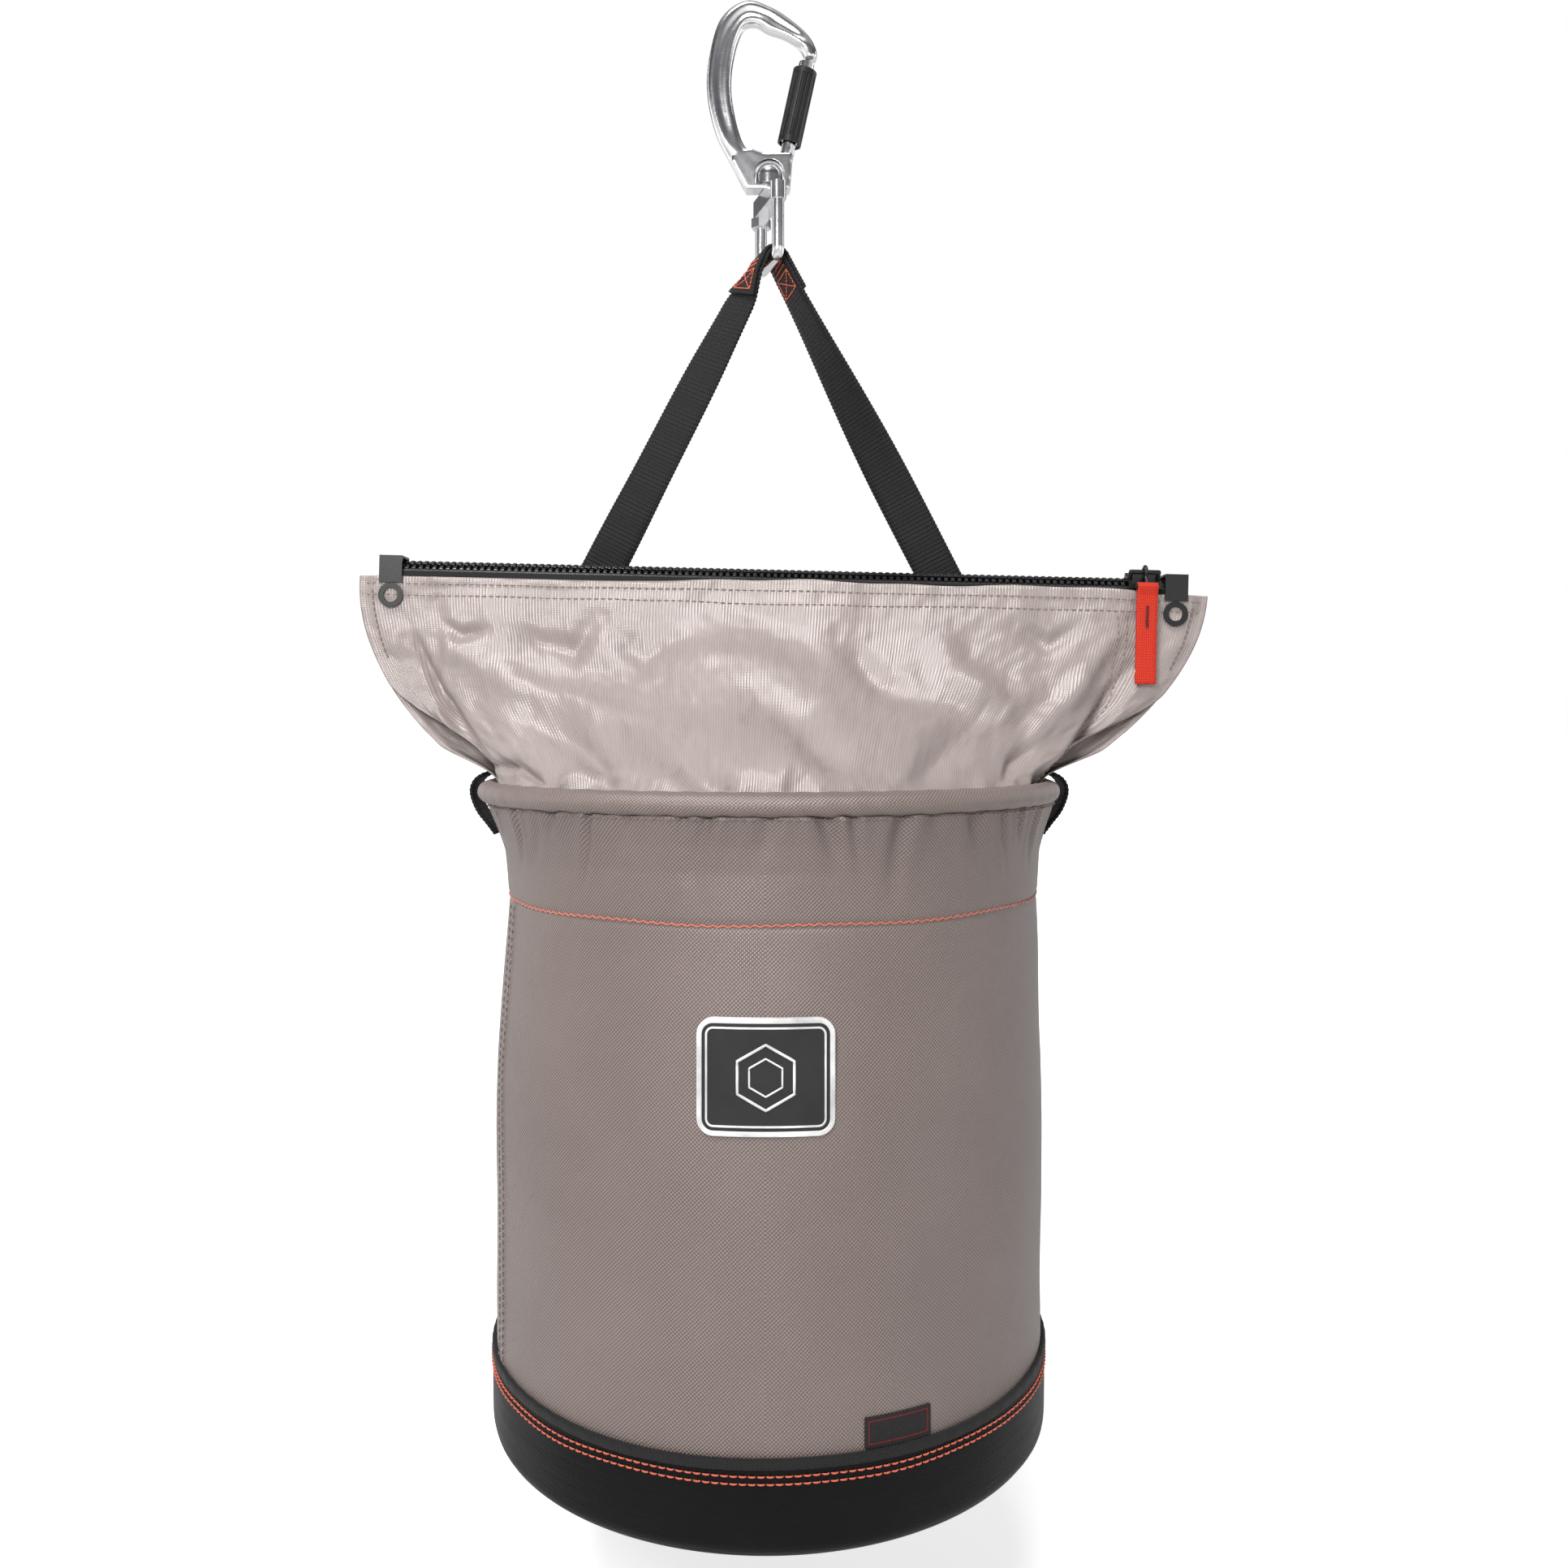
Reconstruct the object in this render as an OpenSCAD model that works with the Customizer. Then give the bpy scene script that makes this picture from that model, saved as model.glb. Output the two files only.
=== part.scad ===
// Hoist tool bucket with a zip top, hung by a twin strap from a swivel carabiner.
// Drawn hanging. The origin is where the carabiner's inner crown bears on its support,
// +Z is up, the zip faces -Y at its front, and X runs along the zip.

/* [Bucket] */
// Outer radius of the fabric body
body_r = 157; // [120:1:200]
// Height of the rim hoop's centre over the underside
rim_z = 358; // [260:1:420]
// Thickness of the heavy body fabric
body_wall = 1.6; // [1:0.1:3]
// How far the body draws in at the hem seam
hem_pinch = 3; // [0:0.5:8]
// Distance of the hem seam below the rim hoop's centre
hem_drop = 58; // [30:1:90]
// How far the rim hoop's centreline stands outside the body
rim_out = 5; // [2:0.5:12]
// Diameter of the stiff hoop inside the rim
hoop_d = 9; // [6:0.5:14]
// Thickness of the fabric rolled round the hoop
binding_wall = 1.4; // [0.8:0.1:3]
// Height of the leather band round the base
band_h = 48; // [30:1:80]
// Thickness of the leather base
band_wall = 2; // [1.2:0.1:4]
// Thickness of the stiff board over the base
board_t = 3; // [2:0.5:6]
// Height of the edge tape at the top of the band
edge_tape_h = 5; // [3:0.5:10]
// Thickness of the edge tape
edge_tape_t = 0.8; // [0.5:0.1:1.5]

/* [Badges] */
// Width of the plain badge on the front
badge_w = 66; // [30:1:90]
// Height of the plain badge
badge_h = 56; // [30:1:90]
// Height of the badge's middle over the underside
badge_z = 229; // [120:1:260]
// Thickness of the badge
badge_t = 1.4; // [0.8:0.1:3]
// Width of the small woven tag
tag_w = 36; // [20:1:50]
// Height of the small woven tag
tag_h = 15; // [8:1:20]
// Thickness of the small woven tag
tag_t = 0.8; // [0.5:0.1:2]
// Angle of the tag from the front, towards +X
tag_turn = 24; // [0:1:40]

/* [Collar] */
// Height of the collar's top edge over the rim hoop's centre
collar_h = 117; // [80:1:160]
// Half the width of the flattened top
collar_half_w = 243; // [200:1:270]
// Sideways set of the flattened top, towards +X
collar_shift = 8.5; // [0:0.5:12]
// How far the top line stands in front of the hoop's centre
collar_fwd = 21; // [19:1:35]
// Thickness of the collar fabric
collar_wall = 0.9; // [0.6:0.1:1.5]
// Fullness of the collar's front below the zip
collar_full = 46; // [20:1:60]

/* [Zip] */
// Height of the chain's middle over the collar's top edge
zip_rise = 6; // [5.5:0.5:16]
// Length of the run of teeth
zip_l = 448; // [360:1:460]
// Slope of the zip, lower towards +X
zip_tilt = 1.4; // [0:0.1:2]
// Roll of the zip's face towards the front
zip_roll = 35; // [30:1:40]
// Distance from one tooth to the next
tooth_pitch = 3.9; // [3:0.1:5]
// Depth of one row of teeth across the zip
tooth_reach = 4.3; // [3:0.1:4.6]
// Thickness of the teeth
tooth_t = 3.4; // [2.4:0.1:4]
// Gap between the two rows, in which the slider's web runs
row_gap = 1.2; // [1.1:0.1:2]
// Thickness of the zip tape
tape_t = 0.8; // [0.5:0.1:1.2]
// Length of the slider
slider_l = 19; // [14:1:24]
// Clearance of the slider round the teeth
slider_gap = 0.35; // [0.3:0.05:0.6]
// Width of the pull tab's webbing
tab_w = 11.7; // [8:0.1:16]
// Length of the pull tab
tab_l = 56; // [30:1:70]
// Thickness of the folded pull tab
tab_t = 2.6; // [1.5:0.1:4]

/* [Corners] */
// Width of the folded tab at each end of the zip
corner_w = 13; // [10:0.5:20]
// Distance of the corner tabs' middle from the collar's tip
corner_in = 19; // [17:0.5:30]
// Radius of the grommet holes
grommet_r = 4; // [3:0.1:5]
// Radius of the grommet's flange
flange_r = 7; // [6:0.1:8]
// Distance of the grommets below the collar's top edge
grommet_drop = 11; // [9:0.5:14]

/* [Strap] */
// Width of the webbing
web_w = 25; // [20:0.5:25.4]
// Thickness of the webbing
web_t = 2.2; // [1.5:0.1:2.6]
// Height of the bail's bar over the rim hoop's centre
strap_h = 309; // [250:1:360]
// Height of the strap's lower ends over the rim hoop's centre
strap_foot = 24; // [20:1:40]
// Length of the reinforcing wrap down each leg
wrap_l = 24; // [16:1:40]

/* [Bail and swivel] */
// Diameter of the bail's rod
rod_d = 7; // [5:0.5:8]
// Distance from the bail's bar to the underside of the carabiner
bail_h = 42.5; // [36:0.5:60]
// Turn of the bail about the swivel
bail_turn = 18; // [0:1:45]
// Width of the swivel yoke
yoke_w = 9.5; // [9:0.5:14]
// Height of the swivel yoke
yoke_h = 10; // [8:0.5:14]
// Radius of the swivel stem
stem_r = 3.5; // [2.5:0.1:4]
// Radius of the stem's domed head
dome_r = 7.8; // [6:0.1:8]
// Running clearance of shafts in their holes
fit_gap = 0.05; // [0.02:0.01:0.1]

/* [Carabiner] */
// Thickness of the carabiner's body, front to back
hook_t = 11; // [9:0.5:14]
// Lean of the gate from the vertical
gate_lean = 12.4; // [10:0.1:14]
// Radius of the gate's rod
gate_r = 4.5; // [4:0.1:5]
// Length of the gate from its rivet
gate_l = 52.4; // [50:0.1:52.6]
// Radius of the lock sleeve
sleeve_r = 7; // [6.5:0.1:7.5]
// Length of the lock sleeve
sleeve_l = 44; // [36:0.5:45]
// Radius of the gate's rivet
rivet_r = 1.6; // [1.2:0.1:2]

/* [Hidden] */
$fn = 96;
skin_gap = 0.1;
eps = 0.02;
rim_r = body_r + rim_out;
binding_r = hoop_d / 2 + binding_wall;
collar_r = rim_r - binding_r - skin_gap;
board_z = band_wall;
floor_z = board_z + board_t;
collar_top = rim_z + collar_h;
zip_z = collar_top + zip_rise;
bar_z = rim_z + strap_h;
hook_z = bar_z + bail_h;
clear = 0.3;
bar_dir = [-sin(bail_turn), cos(bail_turn), 0];
rod_r = rod_d / 2;
rod_x = web_w / 2 + rod_r + 0.75;
yoke_l = 2 * (rod_x + rod_r) + 2;
yoke_gap = 0.4;

// Carabiner outline, from the middle of its underside. The gate closes the right side.
hook_outer = [[-14, 0], [-23, 16.5], [-31.5, 33.5], [-36.5, 55.5], [-36, 76], [-29, 101], [-14, 112],
              [1, 108], [13, 100.5], [23, 91.5], [27.5, 83.5], [28, 77.5]];
hook_inner = [[21, 77.5], [17.5, 84.5], [8.5, 90.5], [-2, 94], [-8.5, 97.5], [-15.5, 95], [-20.5, 80.5],
              [-22.5, 62.5], [-20.5, 45.5], [-16, 29.5], [-10, 21.7], [-2.5, 19.5]];
boss_top = 19.5;
boss_right = 13.5;
crown = [-8.5, 97.5];
window_r = dome_r + 1;
window_z = 8.7;
boss_floor = 3;
gate_foot = [10.8, 24.4];
tang_t = 4;
tang_r = 4;
slot_gap = 0.3;

// Puts what is drawn over the underside's centre into the hanging frame.
module from_base() translate([-crown[0], 0, -(hook_z + crown[1])]) children();

// Smooth curve through points, ends included.
function curve_at(p, i, u) =
    let (n = len(p) - 1, a = p[max(i - 1, 0)], b = p[i], c = p[i + 1], d = p[min(i + 2, n)])
    0.5 * (2 * b + (c - a) * u + (2 * a - 5 * b + 4 * c - d) * u * u + (3 * b - a - 3 * c + d) * u * u * u);
function curve(p, steps = 6) =
    concat([for (i = [0:len(p) - 2], k = [0:steps - 1]) curve_at(p, i, k / steps)], [p[len(p) - 1]]);

// Closed sheet from a grid of points and its offset twin.
module sheet(front, back) {
    rows = len(front);
    cols = len(front[0]);
    n = rows * cols;
    points = concat([for (r = front, q = r) q], [for (r = back, q = r) q]);
    faces = concat(
        [for (i = [0:rows - 2], j = [0:cols - 2], h = [0, 1])
            let (a = i * cols + j, b = a + 1, c = a + cols, d = c + 1) h == 0 ? [a, b, d] : [a, d, c]],
        [for (i = [0:rows - 2], j = [0:cols - 2], h = [0, 1])
            let (a = n + i * cols + j, b = a + 1, c = a + cols, d = c + 1) h == 0 ? [a, d, b] : [a, c, d]],
        [for (j = [0:cols - 2], h = [0, 1]) h == 0 ? [j, n + j, n + j + 1] : [j, n + j + 1, j + 1]],
        [for (j = [0:cols - 2], h = [0, 1]) let (a = n - cols + j)
            h == 0 ? [a, a + 1, n + a + 1] : [a, n + a + 1, n + a]],
        [for (i = [0:rows - 2], h = [0, 1]) let (a = i * cols, b = a + cols)
            h == 0 ? [a, b, n + b] : [a, n + b, n + a]],
        [for (i = [0:rows - 2], h = [0, 1]) let (a = i * cols + cols - 1, b = a + cols)
            h == 0 ? [a, n + b, b] : [a, n + a, n + b]]);
    polyhedron(points, faces, convexity = 6);
}

// Closed sweep of four corners along a path, width along w and thickness along n.
module ribbon(path, widths, normals, w, t) {
    m = len(path);
    points = [for (i = [0:m - 1], c = [[-1, -1], [1, -1], [1, 1], [-1, 1]])
        path[i] + widths[i] * c[0] * w / 2 + normals[i] * c[1] * t / 2];
    sides = [for (i = [0:m - 2], k = [0:3], h = [0, 1])
        let (a = 4 * i + k, b = 4 * i + (k + 1) % 4) h == 0 ? [a, b + 4, b] : [a, a + 4, b + 4]];
    ends = [[0, 1, 2, 3], [4 * m - 1, 4 * m - 2, 4 * m - 3, 4 * m - 4]];
    polyhedron(points, concat(sides, ends), convexity = 6);
}

// Round wire wound in a coil that stands on z = 0.
module coil(r, wire_r, turns, h, sides = 6, steps = 16) {
    m = ceil(turns * steps);
    points = [for (i = [0:m], k = [0:sides - 1])
        let (a = i * 360 / steps, b = k * 360 / sides, q = r + wire_r * cos(b))
        [q * cos(a), q * sin(a), wire_r + (h - 2 * wire_r) * i / m + wire_r * sin(b)]];
    walls = [for (i = [0:m - 1], k = [0:sides - 1], e = [0, 1])
        let (a = i * sides + k, b = i * sides + (k + 1) % sides)
        e == 0 ? [a, b + sides, a + sides] : [a, b, b + sides]];
    polyhedron(points, concat(walls, [[for (k = [0:sides - 1]) sides - 1 - k],
        [for (k = [0:sides - 1]) m * sides + k]]), convexity = 8);
}

// ---- Bucket ----

module base_cover() color([0.09, 0.09, 0.1]) from_base() {
    outer = body_r + band_wall;
    round_r = 4;
    rotate_extrude()
        difference() {
            union() {
                translate([0, round_r]) square([outer, band_h - round_r]);
                square([outer - round_r, band_h]);
                translate([outer - round_r, round_r]) circle(round_r, $fn = 48);
            }
            translate([-1, band_wall]) square([1 + body_r, band_h]);
        }
}

module base_board() color([0.2, 0.2, 0.21]) from_base()
    translate([0, 0, board_z]) cylinder(board_t, r = body_r - body_wall);

module base_edge_tape() color([0.05, 0.05, 0.05]) from_base()
    translate([0, 0, band_h - edge_tape_h + 1]) difference() {
        cylinder(edge_tape_h, r = body_r + band_wall + edge_tape_t);
        translate([0, 0, -1]) cylinder(edge_tape_h + 2, r = body_r + band_wall);
    }

module body_panel() color([0.5, 0.45, 0.42]) from_base() {
    hem_z = rim_z - hem_drop;
    top_z = rim_z - binding_r - skin_gap;
    edge = [[body_r, band_wall], [body_r, hem_z - 90], [body_r - hem_pinch, hem_z],
            [body_r - hem_pinch / 2, hem_z + 25], [rim_r + body_wall / 2, top_z]];
    rotate_extrude()
        polygon(concat(edge, [for (i = [len(edge) - 1:-1:0]) edge[i] - [body_wall, 0]]));
}

module rim_hoop() color([0.1, 0.1, 0.1]) from_base()
    translate([0, 0, rim_z]) rotate_extrude() translate([rim_r, 0]) circle(hoop_d / 2 - skin_gap, $fn = 48);

module rim_binding() color([0.47, 0.43, 0.4]) from_base()
    translate([0, 0, rim_z]) rotate_extrude() translate([rim_r, 0]) difference() {
        circle(binding_r, $fn = 48);
        circle(hoop_d / 2, $fn = 48);
    }

// Rounded plate of the given size, bent to the body's surface at radius r.
module bent_plate(w, h, t, r, corner) intersection() {
    difference() {
        cylinder(h + 2, r = r + t, center = true);
        cylinder(h + 4, r = r, center = true);
    }
    rotate([90, 0, 0]) linear_extrude(r + t + 1) union() {
        square([w - 2 * corner, h], center = true);
        square([w, h - 2 * corner], center = true);
        for (x = [-1, 1], y = [-1, 1])
            translate([x * (w / 2 - corner), y * (h / 2 - corner)]) circle(corner, $fn = 32);
    }
}

module front_badge() color([0.12, 0.12, 0.13]) from_base()
    translate([0, 0, badge_z]) bent_plate(badge_w, badge_h, badge_t, body_r, 8);

module side_tag() color([0.08, 0.07, 0.07]) from_base()
    rotate([0, 0, tag_turn]) translate([0, 0, band_h + 1.5 + tag_h / 2])
        bent_plate(tag_w, tag_h, tag_t, body_r, 1);

// ---- Collar ----
// u runs from -1 to 1 across a panel and v from 0 at the rim to 1 at the top edge.

zip_front = 4.4;
zip_back = 5.6;
ring_turn = 11;
ear_gap = 1.6;
// Share of the half width over which the front stands full.
lobe_reach = 0.88;
function smooth(x) = let (c = max(0, min(1, x))) c * c * (3 - 2 * c);
function reach(v) = collar_half_w - (collar_half_w - collar_r) * pow(1 - v, 2);
function ear_y(v) = -collar_fwd - (collar_r * sin(ring_turn) - collar_fwd) * pow(1 - v, 2);
function top_slope(x, v) = -x * tan(zip_tilt) * v;
function rim_point(a) = [collar_r * sin(a), -collar_r * cos(a), rim_z];
// The bulge behind the ears stays between the straps' legs.
function waist(v) = collar_r - 3 - (collar_r - 66) * v;
function panel_point(side, u, v) =
    let (half = side < 0 ? 90 - ring_turn : 90 + ring_turn,
         ring = side < 0 ? rim_point(u * half) : rim_point(180 - u * half),
         x = u * reach(v),
         q = abs(x) / waist(v),
         lobe = side < 0 ? pow(max(0, 1 - pow(abs(u) / lobe_reach, 1.6)), 1.3) : 1 - smooth(q),
         depth = side < 0 ? collar_full * sin(180 * pow(v, 0.55)) + 120 * pow(1 - v, 2)
                          : 34 * sin(180 * pow(v, 0.5)) + 130 * pow(1 - v, 2),
         top_half = side < 0 ? zip_front : zip_back,
         y = ear_y(v) + side * (lobe * depth + ear_gap + (top_half - ear_gap) * smooth((v - 0.6) / 0.4)),
         mix = smooth(v / (side < 0 ? 0.5 : 0.22)))
    [ring[0] * (1 - mix) + x * mix + collar_shift * v, ring[1] * (1 - mix) + y * mix,
     rim_z + collar_h * v + top_slope(x, v)];
collar_cols = 40;
collar_rows = 12;
// Inward normal of a panel, from points a little either side. It turns level at the top edge.
function panel_normal(side, u, v) =
    let (h = 0.004, v0 = max(v - h, 0), v1 = min(v + h, 1),
         across = panel_point(side, u + h, v) - panel_point(side, u - h, v),
         up = panel_point(side, u, v1) - panel_point(side, u, v0), n = cross(across, up))
    side * [n[0], n[1], n[2] * (1 - pow(v, 6))] / norm(n);
module collar_panel(side) {
    uu = [for (j = [0:collar_cols]) -1 + 2 * j / collar_cols];
    vv = [for (i = [0:collar_rows]) pow(i / collar_rows, 1.3)];
    outer = [for (v = vv) [for (u = uu) panel_point(side, u, v)]];
    inner = [for (v = vv) [for (u = uu) panel_point(side, u, v) + panel_normal(side, u, v) * collar_wall]];
    if (side < 0) sheet(inner, outer);
    else sheet(outer, inner);
}

// Places children at the middle of the zip, level with the chain.
module at_zip() from_base()
    translate([collar_shift, -collar_fwd, zip_z]) rotate([0, zip_tilt, 0]) children();
// The same, turned so that local +Z leaves the chain's face.
module at_chain() at_zip() rotate([zip_roll, 0, 0]) children();

grommet_z = -zip_rise - grommet_drop;
grommet_x = collar_half_w - corner_in;
barrel_wall = 0.8;
tab_wall = 1.2;
tab_front = 5.1;
tab_back = zip_back + 1.4;
tab_top = 4.4;
tab_foot = -grommet_z - flange_r - clear;

// Cylinder along the grommets' axis, from y0 to y1.
module grommet_core(side, r, y0, y1) at_zip()
    translate([side * grommet_x, y1, grommet_z]) rotate([90, 0, 0]) cylinder(y1 - y0, r = r);

module collar_cut(side) difference() {
    from_base() collar_panel(side);
    for (end = [-1, 1]) grommet_core(end, grommet_r + barrel_wall + skin_gap, -30, 30);
}

module collar_front() color([0.7, 0.66, 0.63]) collar_cut(-1);
module collar_back() color([0.7, 0.66, 0.63]) collar_cut(1);

// ---- Zip ----
// Tape outlines are in Y and Z, level with the chain's middle.

row_edge = row_gap / 2 + tooth_reach;
function rolled(y, z) = [y * cos(zip_roll) - z * sin(zip_roll), y * sin(zip_roll) + z * cos(zip_roll)];

module along_zip(l) rotate([90, 0, 90]) linear_extrude(l, center = true) children();

module zip_tape_front() color([0.08, 0.08, 0.08]) at_zip() along_zip(zip_l)
    polygon([[-zip_front, 2 * eps - zip_rise], [-zip_front + tape_t, 2 * eps - zip_rise],
             rolled(-row_edge - eps, -tape_t / 2), rolled(-row_edge - eps, tape_t / 2)]);

module zip_tape_back() color([0.08, 0.08, 0.08]) at_zip() along_zip(zip_l)
    polygon([[zip_back, 2 * eps - zip_rise], [zip_back + 1.3, 3], rolled(row_edge + eps, tape_t / 2),
             rolled(row_edge + eps, -tape_t / 2), [zip_back + 0.4, 2.1],
             [zip_back - tape_t, 2 * eps - zip_rise]]);

// One row of teeth, standing towards +Y from its spine.
module tooth_row(first) {
    count = floor((zip_l - tooth_pitch) / tooth_pitch);
    tooth = tooth_pitch * 0.55;
    spine = 1.3;
    start = -count * tooth_pitch / 2 + first;
    linear_extrude(tooth_t, center = true)
        polygon(concat([[-zip_l / 2, 0], [-zip_l / 2, spine]],
            [for (i = [0:count - 1], k = [0:3])
                [start + i * tooth_pitch + (k < 2 ? 0 : tooth), k == 0 || k == 3 ? spine : tooth_reach]],
            [[zip_l / 2, spine], [zip_l / 2, 0]]));
}

module zip_teeth_front() color([0.06, 0.06, 0.06]) at_chain() translate([0, -row_edge, 0]) tooth_row(0);
module zip_teeth_back() color([0.06, 0.06, 0.06]) at_chain()
    translate([0, row_edge, 0]) mirror([0, 1, 0]) tooth_row(tooth_pitch / 2);

module corner_tab(side) at_zip() translate([side * grommet_x, 0, 0]) along_zip(corner_w) difference() {
    translate([-tab_front - tab_wall, -tab_foot])
        square([tab_front + tab_back + 2 * tab_wall, tab_foot + tab_top + tab_wall]);
    translate([-tab_front, -tab_foot - 1]) square([tab_front + tab_back, tab_foot + tab_top + 1]);
}
module corner_tab_left() color([0.07, 0.07, 0.07]) corner_tab(-1);
module corner_tab_right() color([0.07, 0.07, 0.07]) corner_tab(1);

flange_t = 1;
eyelet_front = -zip_front - skin_gap - flange_t;
eyelet_back = zip_back + skin_gap + flange_t;
module grommet(side) difference() {
    union() {
        grommet_core(side, grommet_r + barrel_wall, eyelet_front, eyelet_back);
        grommet_core(side, flange_r, eyelet_front, eyelet_front + flange_t);
    }
    grommet_core(side, grommet_r, eyelet_front - 1, eyelet_back + 1);
}
module grommet_washer(side) difference() {
    grommet_core(side, flange_r, eyelet_back - flange_t, eyelet_back);
    grommet_core(side, grommet_r + barrel_wall + eps, eyelet_front, eyelet_back + 1);
}
module grommet_left() color([0.15, 0.15, 0.16]) grommet(-1);
module grommet_right() color([0.15, 0.15, 0.16]) grommet(1);
module grommet_washer_left() color([0.15, 0.15, 0.16]) grommet_washer(-1);
module grommet_washer_right() color([0.15, 0.15, 0.16]) grommet_washer(1);

// ---- Slider and pull ----

slider_x = grommet_x - corner_w / 2 - slider_l / 2 - 2;
plate_t = 1.6;
plate_z = tooth_t / 2 + slider_gap;
bridge_r = 1.3;
bridge_z = 8;
link_wire = 1.1;
link_l = 11;
link_drop = 20;
cross_r = 1.2;

module zip_slider() color([0.1, 0.1, 0.1]) at_chain() translate([slider_x, 0, 0]) {
    side_y = row_edge + slider_gap;
    leg_x = slider_l / 2 - bridge_r - 0.3;
    translate([-slider_l / 2, -side_y - 1.2, plate_z]) cube([slider_l, 2 * side_y + 2.4, plate_t]);
    for (e = [-1, 1]) translate([-slider_l / 2, e > 0 ? side_y : -side_y - 1.2, tape_t / 2 + slider_gap])
        cube([slider_l, 1.2, plate_z]);
    translate([-slider_l / 2 + 3, -row_gap / 2 + slider_gap, -plate_z - 1])
        cube([slider_l - 6, row_gap - 2 * slider_gap, 2 * plate_z + 2]);
    translate([-slider_l / 2 + 1, -3.6, -plate_z - 1.4]) cube([slider_l - 2, 7.2, 1.4]);
    for (e = [-1, 1]) {
        translate([e * leg_x, 0, plate_z]) cylinder(bridge_z - plate_z, r = bridge_r, $fn = 32);
        translate([e * leg_x, 0, bridge_z]) sphere(bridge_r, $fn = 32);
    }
    translate([-leg_x, 0, bridge_z]) rotate([0, 90, 0]) cylinder(2 * leg_x, r = bridge_r, $fn = 32);
}

// Places children at the bridge's bar, with local -Z down the hanging link.
module at_bridge() at_chain() translate([slider_x, 0, bridge_z]) rotate([link_drop - 90, 0, 0]) children();

module pull_link() color([0.12, 0.12, 0.12]) at_bridge() {
    ring_r = bridge_r + link_wire + 0.5;
    rotate([0, 90, 0]) rotate_extrude() translate([ring_r, 0]) circle(link_wire, $fn = 24);
    translate([0, 0, -link_l]) cylinder(link_l - ring_r, r = cross_r, $fn = 32);
    translate([-tab_w / 2 - 1.2, 0, -link_l]) rotate([0, 90, 0])
        cylinder(tab_w + 2.4, r = cross_r, $fn = 32);
}

module pull_tab() color([0.85, 0.16, 0.08])
    at_bridge() translate([0, 0, -link_l]) rotate([90 - link_drop - zip_roll, 0, 0]) difference() {
        along_zip(tab_w) union() {
            circle(cross_r + tab_t / 2 + skin_gap, $fn = 32);
            translate([-tab_t / 2, -tab_l]) square([tab_t, tab_l]);
        }
        along_zip(tab_w + 2) circle(cross_r + skin_gap, $fn = 32);
        rotate([link_drop + zip_roll - 90, 0, 0]) translate([-cross_r - skin_gap, -2.5, 0])
            cube([2 * (cross_r + skin_gap), 5, 6]);
    }

// ---- Strap ----

anchor_line = [[-3, 9], [3, 9], [9, 5], [11, -2], [7.5, -12], [1.5, -20], [-3, -26]];
module anchor(side) from_base() translate([0, 0, rim_z]) {
    mid = curve(anchor_line);
    m = len(mid) - 1;
    dir = [for (i = [0:m]) let (d = mid[min(i + 1, m)] - mid[max(i - 1, 0)]) d / norm(d)];
    half = [for (i = [0:m]) [-dir[i][1], dir[i][0]] * web_t / 2];
    rim = [rim_r, 0];
    rotate([90, 0, 0]) linear_extrude(web_w, center = true) scale_x(side)
        polygon(concat([for (i = [0:m]) rim + mid[i] + half[i]],
                       [for (i = [m:-1:0]) rim + mid[i] - half[i]]));
}
module scale_x(side) if (side < 0) mirror([1, 0]) children(); else children();
module anchor_left() color([0.1, 0.1, 0.1]) anchor(-1);
module anchor_right() color([0.1, 0.1, 0.1]) anchor(1);

bar_side = [cos(bail_turn), sin(bail_turn), 0];
arch_r = rod_r + clear + web_t / 2;
foot_x = (rim_r - 2) * (strap_h - strap_foot) / (strap_h - 9);
leg_lean = atan(foot_x / (strap_h - strap_foot));
arch_half = 90 - leg_lean;
twist_at = 0.33;
leg_end = 0.98;
function unit(v) = v / norm(v);
function bar_point(r, a) = [0, 0, bar_z] + r * (sin(a) * bar_side + [0, 0, cos(a)]);
function leg_start(side) = [side * foot_x, 0, rim_z + strap_foot];
function twist(s) = s < twist_at ? 90 + 90 * smooth(s / twist_at)
                                 : 180 - (90 - bail_turn) * smooth((s - twist_at) / (1 - twist_at));
// Each sample is [centre, width direction, outward normal], from the left foot to the right.
function leg_sample(side, s) =
    let (a = leg_start(side), b = bar_point(arch_r, side * arch_half), d = unit(b - a) * -side,
         e = unit([cos(leg_lean), 0, side * sin(leg_lean)]),
         w0 = e * cos(twist(s)) + [0, 1, 0] * sin(twist(s)),
         w = unit(w0 - d * (w0 * d)))
    [a + (b - a) * s, w, unit(cross(d, w))];
function arch_sample(a) =
    [bar_point(arch_r, a), bar_dir, unit(sin(a) * bar_side + [0, 0, cos(a)])];
function strap_samples(s0, n) = concat(
    [for (i = [0:n]) leg_sample(-1, s0 + (leg_end - s0) * i / n)],
    [for (k = [-4:4]) arch_sample(k / 4 * arch_half)],
    [for (i = [n:-1:0]) leg_sample(1, s0 + (leg_end - s0) * i / n)]);

module band(samples, lift, t) ribbon([for (q = samples) q[0] + q[2] * lift], [for (q = samples) q[1]],
                                    [for (q = samples) q[2]], web_w, t);
module strap() color([0.1, 0.1, 0.1]) from_base() band(strap_samples(0, 48), 0, web_t);
module strap_wrap() color([0.08, 0.08, 0.08]) from_base()
    band(strap_samples(1 - wrap_l / norm(leg_start(1) - [0, 0, bar_z]), 8), web_t + clear, web_t);

// ---- Bail and swivel ----

// Places children at the bail's bar, with local Y along the bar.
module at_bar() from_base() translate([0, 0, bar_z]) rotate([0, 0, bail_turn]) children();
bail_top = bail_h - yoke_gap;
bend_r = rod_r + 0.9;

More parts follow.
